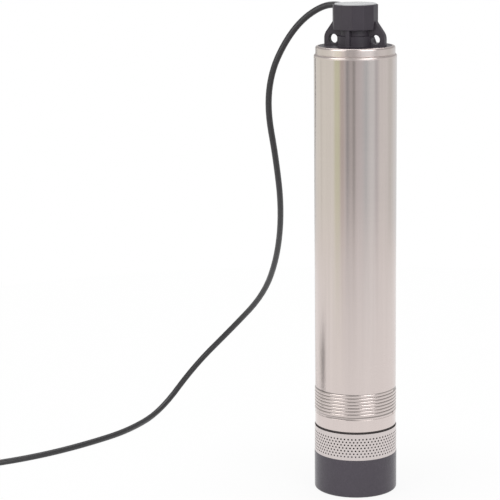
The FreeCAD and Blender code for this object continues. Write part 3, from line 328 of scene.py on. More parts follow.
@dataclass(frozen=True)
class PolishedSteel(Finish):
    """Stainless sheet with fine polishing lines that run round the tube."""

    line_scale: float = 1900.0
    line_depth: float = 2.2e-6
    round_scale: float = 18.0
    cloud_scale: float = 14.0
    draw_scale: float = 330.0
    draw_length: float = 4.0
    cloud_share: float = 0.35
    line_share: float = 0.25
    draw_share: float = 0.4
    tones: Pair = (0.90, 1.10)
    sheen_change: float = 0.05
    # Where the ridged shell gets painted shade: the radii of its grooves, the heights of the ridges, a little
    # on the crests, and a line at the run-out on the front.
    grooves: Pair | None = None
    groove_ends: Pair = (0.0995, 0.1285)
    groove_edge: float = 0.0005
    groove_shade: float = 0.42
    painted_crest_shade: float = 0.08
    runout_ends: Pair = (0.0971, 0.0984)
    runout_edge: float = 0.0004
    runout_front: Pair = (0.0425, 0.0470)
    runout_share: float = 0.8
    dull_ends: Pair = (0.16, 0.36)
    dullness: float = 0.13
    rim_ends: Pair = (0.5275, 0.5290)
    rim_dullness: float = 0.16

    def surface(self, sheet: NodeSheet, where: Socket) -> dict[str, Link]:
        """Adds lines, faint clouds in the sheen and a slight change of tone.

        Args:
            sheet: The sheet that the nodes go on.
            where: The object coordinates.

        Returns:
            What goes into each socket of the shader.
        """
        along = sheet.stretched(where, (self.round_scale, self.round_scale, self.line_scale))
        lines = sheet.noise(along, 1.0, FEW_LAYERS)
        clouds = sheet.noise(where, self.cloud_scale)
        upright = sheet.stretched(where, (self.draw_scale, self.draw_scale, self.draw_length))
        drawn = sheet.noise(upright, 1.0, FEW_LAYERS)
        share = clouds * self.cloud_share + lines * self.line_share + drawn * self.draw_share
        tone = sheet.blended(share, *map(self.shaded, self.tones))
        rough = self.sheen((clouds, self.sheen_change), (lines, self.sheen_change))
        # On the ridged shell: painted shade in the grooves and on the crests, and a duller sheen low down and
        # at the rim.
        if self.grooves is not None:
            across, along, height = sheet.parts(where)
            tone = sheet.blended(self.painted_shade(across, along, height), tone, self.shaded(self.groove_shade))
            rough = rough + (1.0 - height.ranged(*self.dull_ends)) * self.dullness
            rough = rough + height.ranged(*self.rim_ends) * self.rim_dullness
        bumps = self.raised(sheet, lines, self.line_depth)
        return {"Base Color": tone, "Metallic": 1.0, "Roughness": rough, "Normal": bumps}

    def painted_shade(self, across: Term, along: Term, height: Term) -> Term:
        """Paints shade into the grooves between the rolled ridges, a little onto their crests, and along the
        run-out line at the front.

        Args:
            across: The first object coordinate.
            along: The second object coordinate.
            height: The third object coordinate.

        Returns:
            The share of painted shade: 1 in a groove, a little on the crests and 0 outside the ridges.
        """
        radius = (across * across + along * along).power(0.5)
        deep = 1.0 - radius.ranged(*self.grooves) * (1.0 - self.painted_crest_shade)
        rolled = deep * height.within(*self.groove_ends, self.groove_edge)
        # Painted shade along the gap under the lowest ridge, on the front only.
        front = (0.0 - along).ranged(*self.runout_front)
        runout = height.within(*self.runout_ends, self.runout_edge) * front
        return rolled.larger(runout * self.runout_share)


@dataclass(frozen=True)
class Moulding(Finish):
    """Moulded plastic or rubber with a fine grain and handling marks."""

    grain_scale: float = 1500.0
    grain_depth: float = 2.0e-5
    grain_roughness: float = 0.6
    grain_share: float = 0.3
    grain_sheen: float = 0.1
    mark_scale: float = 60.0
    mark_roughness: float = 0.55
    mark_share: float = 0.7
    mark_sheen: float = 0.22
    gloss: float = 0.5
    lift: float = 1.35

    def surface(self, sheet: NodeSheet, where: Socket) -> dict[str, Link]:
        """Adds the grain, soft flow marks in the sheen and a slight change of tone.

        Args:
            sheet: The sheet that the nodes go on.
            where: The object coordinates.

        Returns:
            What goes into each socket of the shader.
        """
        grain = sheet.noise(where, self.grain_scale, MANY_LAYERS, self.grain_roughness)
        marks = sheet.noise(where, self.mark_scale, MANY_LAYERS, self.mark_roughness)
        share = marks * self.mark_share + grain * self.grain_share
        return {
            "Base Color": sheet.blended(share, self.shaded(1.0), self.shaded(self.lift)),
            "Roughness": self.sheen((marks, self.mark_sheen), (grain, self.grain_sheen)),
            "Specular IOR Level": self.gloss,
            "Normal": self.raised(sheet, grain, self.grain_depth),
        }


@dataclass(frozen=True)
class WorkedMetal(Finish):
    """Turned or cast metal with tool marks or a grainy skin."""

    skin_scale: Place = (900.0, 900.0, 900.0)
    skin_depth: float = 1.0e-5
    skin_sheen: float = 0.15
    patch_scale: float = 70.0
    patch_sheen: float = 0.2
    tones: Pair = (0.75, 1.1)

    def surface(self, sheet: NodeSheet, where: Socket) -> dict[str, Link]:
        """Adds the skin, its sheen and patches of duller tone.

        Args:
            sheet: The sheet that the nodes go on.
            where: The object coordinates.

        Returns:
            What goes into each socket of the shader.
        """
        skin = sheet.noise(sheet.stretched(where, self.skin_scale), 1.0)
        patches = sheet.noise(where, self.patch_scale, MANY_LAYERS)
        return {
            "Base Color": sheet.blended(patches, *map(self.shaded, self.tones)),
            "Metallic": 1.0,
            "Roughness": self.sheen((patches, self.patch_sheen), (skin, self.skin_sheen)),
            "Normal": self.raised(sheet, skin, self.skin_depth),
        }


@dataclass(frozen=True)
class Layered(Finish):
    """Sheets, wires or threads that lie side by side along one axis."""

    bands_per_metre: float = 1000.0
    band_axis: str = "Z"
    band_depth: float = 1.0e-4
    band_share: float = 0.8
    unevenness: float = 0.6
    metallic: float = 1.0
    patch_scale: float = 120.0
    patch_share: float = 0.2
    patch_sheen: float = 0.2
    tones: Pair = (0.5, 1.1)

    def surface(self, sheet: NodeSheet, where: Socket) -> dict[str, Link]:
        """Adds the bands as a wave, with darker gaps and a little unevenness.

        Args:
            sheet: The sheet that the nodes go on.
            where: The object coordinates.

        Returns:
            What goes into each socket of the shader.
        """
        settings = {"wave_type": "BANDS", "bands_direction": self.band_axis}
        scale = self.bands_per_metre / WAVE_FACTOR * math.pi
        inputs = {"Vector": where, "Scale": scale, "Distortion": self.unevenness}
        bands = sheet.term("TexWave", 1, settings=settings, inputs=inputs)
        patches = sheet.noise(where, self.patch_scale)
        share = bands * self.band_share + patches * self.patch_share
        return {
            "Base Color": sheet.blended(share, *map(self.shaded, self.tones)),
            "Metallic": self.metallic,
            "Roughness": self.sheen((patches, self.patch_sheen)),
            "Normal": self.raised(sheet, bands, self.band_depth),
        }


STEEL_TINT = (0.68, 0.60, 0.575)
STEEL = PolishedSteel("polished steel", Slot.STEEL, STEEL_TINT, 0.13)
# The rolled steel carries painted shade in its grooves and along the run-out of its lowest ridge.
SHELL_STEEL = PolishedSteel("rolled steel", Slot.STEEL, STEEL_TINT, 0.13, grooves=(0.04906, 0.04932))
CAP_STEEL = PolishedSteel("cap steel", Slot.STEEL, STEEL_TINT, 0.26)
BAND_STEEL = PolishedSteel("perforated steel", Slot.STEEL, (0.66, 0.60, 0.585), 0.26, draw_scale=120.0)
BLACK = Moulding("black moulding", Slot.BLACK_PLASTIC, (0.042, 0.035, 0.045), 0.40, gloss=0.32)
FOOT_BLACK = Moulding("foot moulding", Slot.BLACK_PLASTIC, (0.058, 0.049, 0.063), 0.27, gloss=0.45)
CABLE_RUBBER = Moulding(
    "cable rubber", Slot.RUBBER, (0.024, 0.023, 0.025), 0.40, grain_scale=2400.0, grain_depth=1e-5
)
SEAL_RUBBER = Moulding("seal rubber", Slot.RUBBER, (0.040, 0.034, 0.034), 0.62, grain_depth=4e-6, gloss=0.25)
MAINS_RUBBER = Moulding("mains plug rubber", Slot.RUBBER, (0.030, 0.030, 0.032), 0.5, grain_depth=3e-5)
PLUG_GREY = Moulding("pale plug", Slot.PLUG_PLASTIC, (0.60, 0.61, 0.62), 0.28, grain_depth=4e-6, lift=1.08)
STAGE_GREY = Moulding("grey stage moulding", Slot.GREY_PLASTIC, (0.33, 0.33, 0.34), 0.45, lift=1.15)
IMPELLER_WHITE = Moulding("impeller moulding", Slot.IMPELLER_PLASTIC, (0.70, 0.68, 0.61), 0.38, lift=1.08)
CERAMIC = Moulding("ground ceramic", Slot.CERAMIC, (0.84, 0.83, 0.79), 0.18, grain_depth=2e-6, lift=1.04)
BRASS = WorkedMetal("turned brass", Slot.BRASS, (0.68, 0.50, 0.24), 0.3, skin_scale=(40.0, 40.0, 2500.0))
CAST = WorkedMetal("cast metal", Slot.CAST_METAL, (0.52, 0.52, 0.53), 0.46, skin_depth=3e-5)
SCREW_STEEL = WorkedMetal("screw steel", Slot.STEEL, (0.60, 0.59, 0.57), 0.33)
SHEETS = Layered("stacked sheets", Slot.LAMINATIONS, (0.28, 0.28, 0.30), 0.42, bands_per_metre=1400.0)
WIRE = Layered("varnished wire", Slot.COPPER, (0.62, 0.27, 0.12), 0.3, bands_per_metre=1100.0, metallic=0.9)
WEBBING = Layered(
    "woven tie",
    Slot.FABRIC_TIE,
    (0.035, 0.035, 0.038),
    0.8,
    bands_per_metre=900.0,
    band_axis="DIAGONAL",
    metallic=0.0,
)
PLASTICS = (BLACK, STAGE_GREY, PLUG_GREY, IMPELLER_WHITE, SEAL_RUBBER, WEBBING)
CARRIED_FINISHES = (*PLASTICS, STEEL, BRASS, CAST, SHEETS, WIRE, CERAMIC)


class Bench:
    """The hand operations that shape a mesh, each on one object at a time."""

    @staticmethod
    def clear() -> None:
        """Leaves edit mode and deselects everything."""
        if bpy.context.object is not None and bpy.context.object.mode != "OBJECT":
            bpy.ops.object.mode_set(mode="OBJECT")
        bpy.ops.object.select_all(action="DESELECT")

    @classmethod
    def pick(cls, piece: Piece) -> None:
        """Selects one object alone and makes it the active one.

        Args:
            piece: The object.
        """
        cls.clear()
        piece.select_set(True)
        bpy.context.view_layer.objects.active = piece

    @classmethod
    def edit(cls, piece: Piece, everything: bool = True) -> None:
        """Opens a piece in edit mode.

        Args:
            piece: The object to open.
            everything: Whether all of its mesh is selected.
        """
        cls.pick(piece)
        bpy.ops.object.mode_set(mode="EDIT")
        bpy.ops.mesh.select_mode(type="VERT")
        bpy.ops.mesh.select_all(action="SELECT" if everything else "DESELECT")

    @classmethod
    def outward(cls, piece: Piece) -> None:
        """Opens a piece in edit mode and turns all of its faces outwards."""
        cls.edit(piece)
        bpy.ops.mesh.normals_make_consistent(inside=False)

    @classmethod
    def select(cls, piece: Piece, wanted: Callable[..., bool], element: Element = Element.CORNER) -> None:
        """Opens a piece in edit mode and selects what passes a test.

        Args:
            piece: The object.
            wanted: The test of one vertex, edge or face of its mesh.
            element: Which of the three are tested.
        """
        mode, members = element.value
        cls.edit(piece, everything=False)
        bpy.ops.mesh.select_mode(type=mode)
        bpy.ops.object.mode_set(mode="OBJECT")
        for member in getattr(piece.data, members):
            member.select = wanted(member)
        bpy.ops.object.mode_set(mode="EDIT")

    @staticmethod
    def move(across: float, along: float, upward: float) -> None:
        """Moves what is selected in edit mode."""
        bpy.ops.transform.translate(value=(across, along, upward))

    @staticmethod
    def rotate(angle: float, axis: str = "Z") -> None:
        """Turns what is selected in edit mode about an axis through the origin, in degrees."""
        bpy.ops.transform.rotate(value=math.radians(angle), orient_axis=axis, center_override=ORIGIN)

    @staticmethod
    def extrude(upward: float) -> None:
        """Extrudes what is selected in edit mode upwards or downwards."""
        bpy.ops.mesh.extrude_region_move(TRANSFORM_OT_translate={"value": (0, 0, upward)})

    @classmethod
    def modify(cls, piece: Piece, kind: str, **settings: Setting) -> None:
        """Adds a modifier, sets it up and applies it.

        Args:
            piece: The object.
            kind: The modifier's type.
            settings: Its properties.
        """
        cls.pick(piece)
        made = piece.modifiers.new(kind.title(), kind)
        for name, value in settings.items():
            setattr(made, name, value)
        bpy.ops.object.modifier_apply(modifier=made.name)

    @classmethod
    def soften(cls, piece: Piece, width: float, segments: int = 3, angle: float = 35.0) -> None:
        """Bevels every edge that is sharper than an angle."""
        settings = {"limit_method": "ANGLE", "angle_limit": math.radians(angle), "harden_normals": False}
        cls.modify(piece, "BEVEL", width=width, segments=segments, **settings)

    @classmethod
    def carve(cls, piece: Piece, tool: Piece, operation: str = "DIFFERENCE") -> None:
        """Cuts a piece by another object, or keeps what both share, and drops the tool."""
        cls.modify(piece, "BOOLEAN", operation=operation, object=tool, solver="EXACT")
        bpy.data.objects.remove(tool, do_unlink=True)

    @classmethod
    def joined(cls, pieces: Sequence[Piece]) -> Piece:
        """Joins several objects.

        Args:
            pieces: The objects.

        Returns:
            The first of them, which now holds all of their meshes.
        """
        cls.pick(pieces[0])
        for piece in pieces:
            piece.select_set(True)
        bpy.ops.object.join()
        return pieces[0]

    @classmethod
    def repeated(cls, piece: Piece, times: int) -> Piece:
        """Copies a shape round the upright axis in even steps, within its own mesh.

        Args:
            piece: The object.
            times: How often the shape is there in the end.

        Returns:
            The object.
        """
        cls.edit(piece)
        swept = FULL_TURN * (times - 1) / times
        bpy.ops.mesh.spin(steps=times - 1, dupli=True, angle=swept, center=ORIGIN, axis=(0, 0, 1))
        return piece

    @classmethod
    def mirrored(cls, piece: Piece, name: str) -> Piece:
        """Copies a finished piece to the other side of the middle plane.

        Args:
            piece: The finished object.
            name: The copy's name.

        Returns:
            The finished copy.
        """
        cls.pick(piece)
        bpy.ops.object.duplicate()
        copy = bpy.context.object
        cls.edit(copy)
        bpy.ops.transform.resize(value=(-1, 1, 1), center_override=ORIGIN)
        return cls.close(copy, name)

    @classmethod
    def stood(cls, piece: Piece, foot: Vector, direction: Vector) -> Piece:
        """Stands a piece made along the upright axis on a point, along a direction.

        Args:
            piece: The object, at the origin.
            foot: The point that its own origin goes to.
            direction: The direction that its upright axis takes.

        Returns:
            The object.
        """
        cls.pick(piece)
        turn = Vector((0, 0, 1)).rotation_difference(direction).to_matrix().to_4x4()
        piece.matrix_world = Matrix.Translation(foot) @ turn
        bpy.ops.object.transform_apply()
        return piece

    @classmethod
    def close(cls, piece: Piece, name: str, sharp_angle: float = 30.0) -> Piece:
        """Ends the work on a piece: doubles merged, faces outward, smooth up to an angle.

        Args:
            piece: The object.
            name: The piece's name.
            sharp_angle: The angle in degrees past which an edge stays sharp.

        Returns:
            The object.
        """
        cls.edit(piece)
        bpy.ops.mesh.remove_doubles(threshold=DOUBLES)
        cls.outward(piece)
        cls.pick(piece)
        bpy.ops.object.transform_apply()
        bpy.ops.object.shade_smooth_by_angle(angle=math.radians(sharp_angle))
        cls.modify(piece, "WEIGHTED_NORMAL", keep_sharp=True)
        piece.name = name
        piece.data.name = name
        return piece

    @classmethod
    def slab(cls, low: Place, high: Place) -> Piece:
        """Makes a block between two corners, ready for more work.

        Args:
            low: The lowest corner.
            high: The highest corner.

        Returns:
            The block.
        """
        cls.clear()
        bpy.ops.mesh.primitive_cube_add(size=1.0, location=ORIGIN)
        made = bpy.context.object
        cls.edit(made)
        spans = list(zip(low, high, strict=True))
        bpy.ops.transform.resize(value=tuple(end - start for start, end in spans))
        cls.move(*((start + end) / 2 for start, end in spans))
        return made

    @classmethod
    def circle(cls, corners: int, radius: float, **options: Setting) -> Piece:
        """Adds a circle.

        Args:
            corners: How many corners it has.
            radius: Its radius.
            options: What else the operator is told, such as its place and turn.

        Returns:
            The circle, selected alone.
        """
        cls.clear()
        bpy.ops.mesh.primitive_circle_add(vertices=corners, radius=radius, **options)
        bpy.ops.object.transform_apply()
        return bpy.context.object

    @classmethod
    def prism(cls, sides: int, corner: float, low: float, high: float, turn: float = 0.0) -> Piece:
        """Makes an upright prism with a regular outline.

        Args:
            sides: How many sides it has.
            corner: The radius of its corners.
            low: The height of its underside.
            high: The height of its top.
            turn: The angle in degrees by which it is turned.

        Returns:
            The prism.
        """
        made = cls.circle(sides, corner, fill_type="NGON")
        cls.edit(made)
        cls.rotate(turn)
        cls.move(0, 0, low)
        cls.extrude(high - low)
        cls.outward(made)
        return made

    @classmethod
    def faceted(cls, outline: Outline, prism: Piece, edge: float) -> Piece:
        """Turns a ring and cuts its outside to a prism with soft edges.

        Args:
            outline: Radius and height of each loop of the ring.
            prism: The prism that gives the outside.
            edge: The width of the prism's bevelled edges.

        Returns:
            The faceted ring.
        """
        cls.soften(prism, edge, angle=20.0)
        ring = cls.turned(outline, RING_SIDES)
        cls.outward(ring)
        cls.carve(ring, prism, "INTERSECT")
        return ring

    @classmethod
    def helix(cls, section: Pair, at: Pair, pitch: float, turns: int, steps: int, corners: int = 24) -> Piece:
        """Winds an oval section round the upright axis.

        Args:
            section: Half the section's width and half its height.
            at: Radius and height of its first place.
            pitch: How far it rises in one turn.
            turns: How many turns it takes.
            steps: How many steps each turn takes.
            corners: How many corners the section has.

        Returns:
            The wound object with both ends closed.
        """
        made = cls.circle(corners, 1.0, rotation=(math.pi / 2, 0, 0))
        cls.edit(made)
        bpy.ops.transform.resize(value=(section[0], 1, section[1]), center_override=ORIGIN)
        cls.move(at[0], 0, at[1])
        winding = {"angle": FULL_TURN, "screw_offset": pitch, "iterations": turns}
        merging = {"use_merge_vertices": True, "merge_threshold": DOUBLES / 10}
        cls.modify(made, "SCREW", steps=steps, render_steps=steps, **winding, **merging)
        cls.edit(made, everything=False)
        bpy.ops.mesh.select_non_manifold()
        bpy.ops.mesh.edge_face_add()
        return made

    @classmethod
    def turned(cls, outline: Outline, sides: int, ends: Ends = Ends.JOINED) -> Piece:
        """Turns an outline about the upright axis, loop by loop.

        Args:
            outline: Radius and height of each loop, in metres.
            sides: How many sides each loop has.
            ends: How the outline is closed.

        Returns:
            The turned object.
        """
        radius, height = outline[0]
        made = cls.circle(sides, radius, location=(0, 0, height))
        cls.edit(made)
        for next_radius, next_height in outline[1:]:
            cls.extrude(next_height - height)
            share = next_radius / radius
            bpy.ops.transform.resize(value=(share, share, 1), center_override=(0, 0, next_height))
            radius, height = next_radius, next_height
        bpy.ops.mesh.select_all(action="DESELECT")
        bpy.ops.mesh.select_non_manifold()
        if ends is Ends.JOINED:
            bpy.ops.mesh.bridge_edge_loops()
        else:
            bpy.ops.mesh.edge_face_add()
        return made


def rounded(corner: Pair, radius: float, start: float, steps: int = 5) -> list[Pair]:
    """Rounds off a corner of an outline.

    Args:
        corner: Radius and height of the sharp corner.
        radius: The radius of the quarter circle that takes its place.
        start: The angle in degrees at which that starts, by the kind of corner.
        steps: How many steps it takes.

    Returns:
        Radius and height of each point.
    """
    middle = math.radians(start + 45.0)
    across = corner[0] - math.copysign(radius, math.cos(middle))
    upward = corner[1] - math.copysign(radius, math.sin(middle))
    angles = [math.radians(start + 90.0 * step / steps) for step in range(steps + 1)]
    return [(across + radius * math.cos(angle), upward + radius * math.sin(angle)) for angle in angles]


def ribbed(start: Pair, end: Pair, profile: Outline, ribs: int, spare: float = 0.0) -> list[Pair]:
    """Gives the outline of a tapering neck with ribs.

    Args:
        start: Radius and height of its first end.
        end: Radius and height of its other end.
        profile: Where each point of a rib lies along it, as a share, and how deep it is sunk.
        ribs: How many ribs there are.
        spare: How much stays plain at the other end, in ribs.

    Returns:
        Radius and height of each point.
    """
    points = []
    for rib in range(ribs):
        for share, sunk in profile:
            along = (rib + share) / (ribs + spare)
            radius, height = (low + (high - low) * along for low, high in zip(start, end, strict=True))
            points.append((radius - sunk, height))
    return points


def dress(piece: Piece, finish: Finish) -> None:
    """Gives a piece one finish all over."""
    piece.data.materials.clear()
    piece.data.materials.append(finish.material())


def fit(piece: Piece, finish: Finish, *nodes: str, body: Body = Body.PUMP) -> Piece:
    """Puts a finished piece on its body in place of its nodes.

    Args:
        piece: The finished object.
        finish: Its finish, which knows the record's slot that it belongs to.
        nodes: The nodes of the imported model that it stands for.
        body: The body that it rides on.

    Returns:
        The object.
    """
    dress(piece, finish)
    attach(piece, body.value)
    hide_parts(*nodes)
    log.info("%s is on %s", piece.name, body.value)
    return piece


@dataclass
class Cable:
    """The mains cable, its coil and what is on it."""

    exit: Place = (0.0, 0.0325, 0.554)
    diameter: float = 0.0078
    length: float = 9.88
    route: tuple[Place, ...] = (
        (0.0, 0.0325, 0.554),
        (-0.008, 0.036, 0.5695),
        (-0.022, 0.039, 0.5815),
        (-0.040, 0.040, 0.5865),
        (-0.060, 0.039, 0.584),
        (-0.085, 0.034, 0.567),
        (-0.105, 0.027, 0.539),
        (-0.121, 0.022, 0.502),
        (-0.131, 0.032, 0.455),
        (-0.134, 0.061, 0.393),
        (-0.147, 0.105, 0.318),
        (-0.181, 0.163, 0.242),
        (-0.230, 0.222, 0.174),
        (-0.295, 0.256, 0.114),
        (-0.351, 0.242, 0.055),
        (-0.369, 0.174, 0.004),
        (-0.364, 0.078, 0.004),
        (-0.382, 0.008, 0.004),
        (-0.409, -0.060, 0.004),
        (-0.445, -0.117, 0.004),
        (-0.490, -0.164, 0.004),
    )
    tail: tuple[Place, ...] = (
        (-0.647, -0.057, 0.026),
        (-0.637, -0.030, 0.019),
        (-0.628, -0.004, 0.019),
    )
    coil_centre: Pair = (-0.576, -0.114)
    coil_radius: float = 0.070
    columns: int = 5
    layers: int = 4
    coil_height: float = 0.0045
    coil_start: float = -67.0
    coil_end: float = 160.0
    shift_start: float = 0.6
    points_per_turn: int = 12
    steps_per_point: int = 6
    section_steps: int = 5

    def coil_points(self) -> list[Place]:
        """Winds the coil, layer on layer, out and in again.

        Returns:
            The control points of its turns.
        """
        turns = self.columns * self.layers - 1 + (self.coil_start - self.coil_end) % 360.0 / 360.0
        swept = -360.0 * turns
        steps = round(turns * self.points_per_turn)
        pull = math.cos(math.pi / self.points_per_turn)
        outer = self.coil_radius + self.diameter * (self.columns - 1) / 2
        points = []
        for step in range(steps + 1):
            layer, column = self.coil_cell(turns * step / steps)
            radius = (outer - column * self.diameter) / pull
            angle = math.radians(self.coil_start + swept * step / steps)
            across = self.coil_centre[0] + radius * math.cos(angle)
            along = self.coil_centre[1] + radius * math.sin(angle)
            points.append((across, along, self.coil_height + layer * self.diameter))
        return points

    def coil_cell(self, turn: float) -> Pair:
        """Finds the layer and the column that a turn lies in, as both shift near its end.

        Args:
            turn: How many turns are wound already.

        Returns:
            The layer from below and the column from outside.
        """
        last = self.columns * self.layers - 1
        whole = min(int(turn), last)
        layer, column = self.whole_cell(whole)
        next_layer, next_column = self.whole_cell(min(whole + 1, last))
        shift = max(0.0, (turn - whole - self.shift_start) / (1.0 - self.shift_start))
        return layer + (next_layer - layer) * shift, column + (next_column - column) * shift

    def whole_cell(self, turn: int) -> tuple[int, int]:
        """Finds the layer and the column in which a turn starts, every other layer going back."""
        layer, column = divmod(turn, self.columns)
        return layer, column if layer % 2 == 0 else self.columns - 1 - column

    def build(self) -> None:
        curve = bpy.data.curves.new("cable", "CURVE")
        curve.dimensions = "3D"
        curve.bevel_depth = self.diameter / 2
        curve.bevel_resolution = self.section_steps
        curve.resolution_u = self.steps_per_point
        curve.use_fill_caps = True
        spline = curve.splines.new("NURBS")
        points = [*self.route, *self.coil_points(), *self.tail]
        spline.points.add(len(points) - 1)
        for point, place in zip(spline.points, points, strict=True):
            point.co = (*place, 1.0)
        spline.order_u = 3
        spline.use_endpoint_u = True
        cable = bpy.data.objects.new("cable", curve)
        bpy.context.scene.collection.objects.link(cable)
        fit(cable, CABLE_RUBBER, "power_cable", "cable_coil", "cable_tail")
        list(MainsPlug().build())
        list(CoilTies().build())


@dataclass
class Lamp:
    """One soft square lamp that looks at the middle of the object.

    Its angle is in degrees from the camera's side, its power in watts and the rest in metres.
    """

    name: str
    angle: float
    rise: float
    reach: float
    side: float
    power: float
    aim: float = 0.3

    def build(self, front: float) -> None:
        """Hangs the lamp.

        Args:
            front: The direction of the camera's side, in degrees.
        """
        data = bpy.data.lights.new(self.name, "AREA")
        data.shape = "SQUARE"
        data.size = self.side
        data.energy = self.power
        lamp = bpy.data.objects.new(self.name, data)
        bpy.context.scene.collection.objects.link(lamp)
        heading = math.radians(front + self.angle)
        spot = Vector((self.reach * math.cos(heading), self.reach * math.sin(heading), self.rise))
        turn = (Vector((0.0, 0.0, self.aim)) - spot).to_track_quat("-Z", "Y").to_matrix().to_4x4()
        lamp.matrix_world = Matrix.Translation(spot) @ turn


@dataclass
class Studio:
    """The camera, the floor, the lamps and what the steel mirrors.

    A panel is an angle in degrees from the camera's side and the tone of what stands there.
    """

    turn: float = 23.0
    distance: float = 2.243
    height: float = 0.7532
    look_left: float = 3.2397
    look_down: float = 11.5055
    tilt: float = -0.6733
    lens: float = 136.8
    film_width: float = 36.0
    floor_radius: float = 1.3
    floor_sides: int = 96
    floor_colour: Colour = (0.88, 0.88, 0.88)
    shadow_near: float = 0.07
    shadow_far: float = 0.30
    near_white: float = 0.90
    far_white: float = 0.985
    ambient: float = 0.38
    mirrored_floor: Colour = (0.97, 0.96, 0.95)
    mirrored_room: Colour = (0.50, 0.50, 0.50)
    floor_line: Pair = (-0.213, -0.178)
    room_line: Pair = (0.03, 0.20)
    panels: tuple[tuple[float, Colour], ...] = (
        (-180.0, (0.72, 0.72, 0.72)),
        (-150.0, (0.74, 0.75, 0.73)),
        (-135.0, (0.84, 0.86, 0.81)),
        (-116.0, (0.85, 0.87, 0.81)),
        (-110.0, (0.74, 0.75, 0.70)),
        (-104.0, (0.85, 0.87, 0.81)),
        (-64.0, (0.84, 0.86, 0.80)),
        (-57.0, (0.70, 0.74, 0.55)),
        (-45.0, (0.68, 0.72, 0.54)),
        (-41.0, (0.57, 0.52, 0.49)),
        (-34.0, (0.56, 0.52, 0.49)),
        (-29.0, (0.60, 0.58, 0.58)),
        (-22.0, (0.31, 0.32, 0.33)),
        (-15.0, (0.52, 0.51, 0.51)),
        (-9.0, (0.52, 0.51, 0.51)),
        (-4.0, (0.29, 0.29, 0.28)),
        (2.0, (0.59, 0.58, 0.59)),
        (16.0, (0.63, 0.63, 0.64)),
        (30.0, (0.54, 0.59, 0.61)),
        (42.0, (0.73, 0.77, 0.78)),
        (51.0, (0.75, 0.79, 0.80)),
        (60.0, (0.56, 0.57, 0.59)),
        (74.0, (0.79, 0.80, 0.79)),
        (97.0, (0.79, 0.80, 0.79)),
        (113.0, (0.69, 0.705, 0.68)),
        (135.0, (0.80, 0.83, 0.83)),
        (150.0, (0.82, 0.85, 0.86)),
        (180.0, (0.72, 0.72, 0.72)),
    )
    lamps: tuple[Lamp, ...] = (
        Lamp("left softbox", angle=-52.0, rise=1.35, reach=2.2, side=1.75, power=20.0),
        Lamp("right softbox", angle=35.0, rise=1.35, reach=2.2, side=1.65, power=22.0),
        Lamp("top softbox", angle=180.0, rise=2.2, reach=0.8, side=1.6, power=18.0),
    )

    def build_camera(self) -> None:
        """Sets the camera where the photograph was taken from."""
        data = bpy.data.cameras.new("camera")
        data.lens = self.lens
        data.sensor_width = self.film_width
        camera = bpy.data.objects.new("camera", data)
        bpy.context.scene.collection.objects.link(camera)
        steps = ((self.look_left, "Z"), (90.0 - self.look_down, "X"), (self.tilt, "Z"))
        left, down, roll = (Matrix.Rotation(math.radians(angle), 4, axis) for angle, axis in steps)
        stand = Matrix.Translation((0.0, -self.distance, self.height))
        camera.matrix_world = Matrix.Rotation(math.radians(self.turn), 4, "Z") @ stand @ left @ down @ roll
        bpy.context.scene.camera = camera

    def build_floor(self) -> None:
        """Lays a pale round floor that keeps the object's shadow."""
        floor = Bench.circle(self.floor_sides, self.floor_radius, fill_type="NGON")
        floor.name = "floor"
        made = bpy.data.materials.new("pale floor")
        made.use_nodes = True
        sheet = NodeSheet(made.node_tree)
        rays = sheet.add("LightPath")
        seen = Term(sheet, rays.outputs["Is Camera Ray"]).larger(Term(sheet, rays.outputs["Is Glossy Ray"]))
        where = sheet.add("TexCoord").outputs["Object"]
        away = sheet.distance(where, ORIGIN).ranged(self.shadow_near, self.shadow_far)
        own_white = away * (self.far_white - self.near_white) + self.near_white
        lit = sheet.add("BsdfDiffuse", None, {"Color": solid(self.floor_colour)})
        own = sheet.add("Emission", None, {"Color": WHITE, "Strength": 1.0})
        mixed = sheet.chosen(seen * own_white, lit, own)
        sheet.add("OutputMaterial", None, {"Surface": mixed.outputs[0]})
        floor.data.materials.append(made)

    def build_world(self) -> None:
        """Surrounds the object with white, and with the studio's tones where metal mirrors it."""
        world = bpy.data.worlds.new("studio")
        world.use_nodes = True
        bpy.context.scene.world = world
        sheet = NodeSheet(world.node_tree)
        inputs = {
            "Vector": sheet.add("TexCoord").outputs["Generated"],
            "Rotation": (0, 0, -math.radians(self.turn - 90.0)),
        }
        turned = sheet.add("Mapping", {"vector_type": "POINT"}, inputs)
        across, along, height = sheet.parts(turned.outputs[0])
        stops = [(0.5 + angle / 360.0, shade) for angle, shade in self.panels]
        panels = sheet.ramped(along.turned(across) * (1.0 / FULL_TURN) + 0.5, stops)
        over_floor = sheet.blended(height.ranged(*self.floor_line), solid(self.mirrored_floor), panels)
        room = sheet.blended(height.ranged(*self.room_line), over_floor, solid(self.mirrored_room))
        rays = sheet.add("LightPath")
        lights = ((WHITE, self.ambient), (room, 1.0), (WHITE, 1.0))
        soft, mirrored, seen = (
            sheet.add("Background", None, {"Color": colour, "Strength": strength})
            for colour, strength in lights
        )
        glossy = sheet.chosen(rays.outputs["Is Glossy Ray"], soft, mirrored)
        whole = sheet.chosen(rays.outputs["Is Camera Ray"], glossy, seen)
        sheet.add("OutputWorld", None, {"Surface": whole.outputs[0]})

    def build(self) -> None:
        """Sets up the whole studio."""
        self.build_camera()
        self.build_floor()
        self.build_world()
        for lamp in self.lamps:
            lamp.build(self.turn - 90.0)


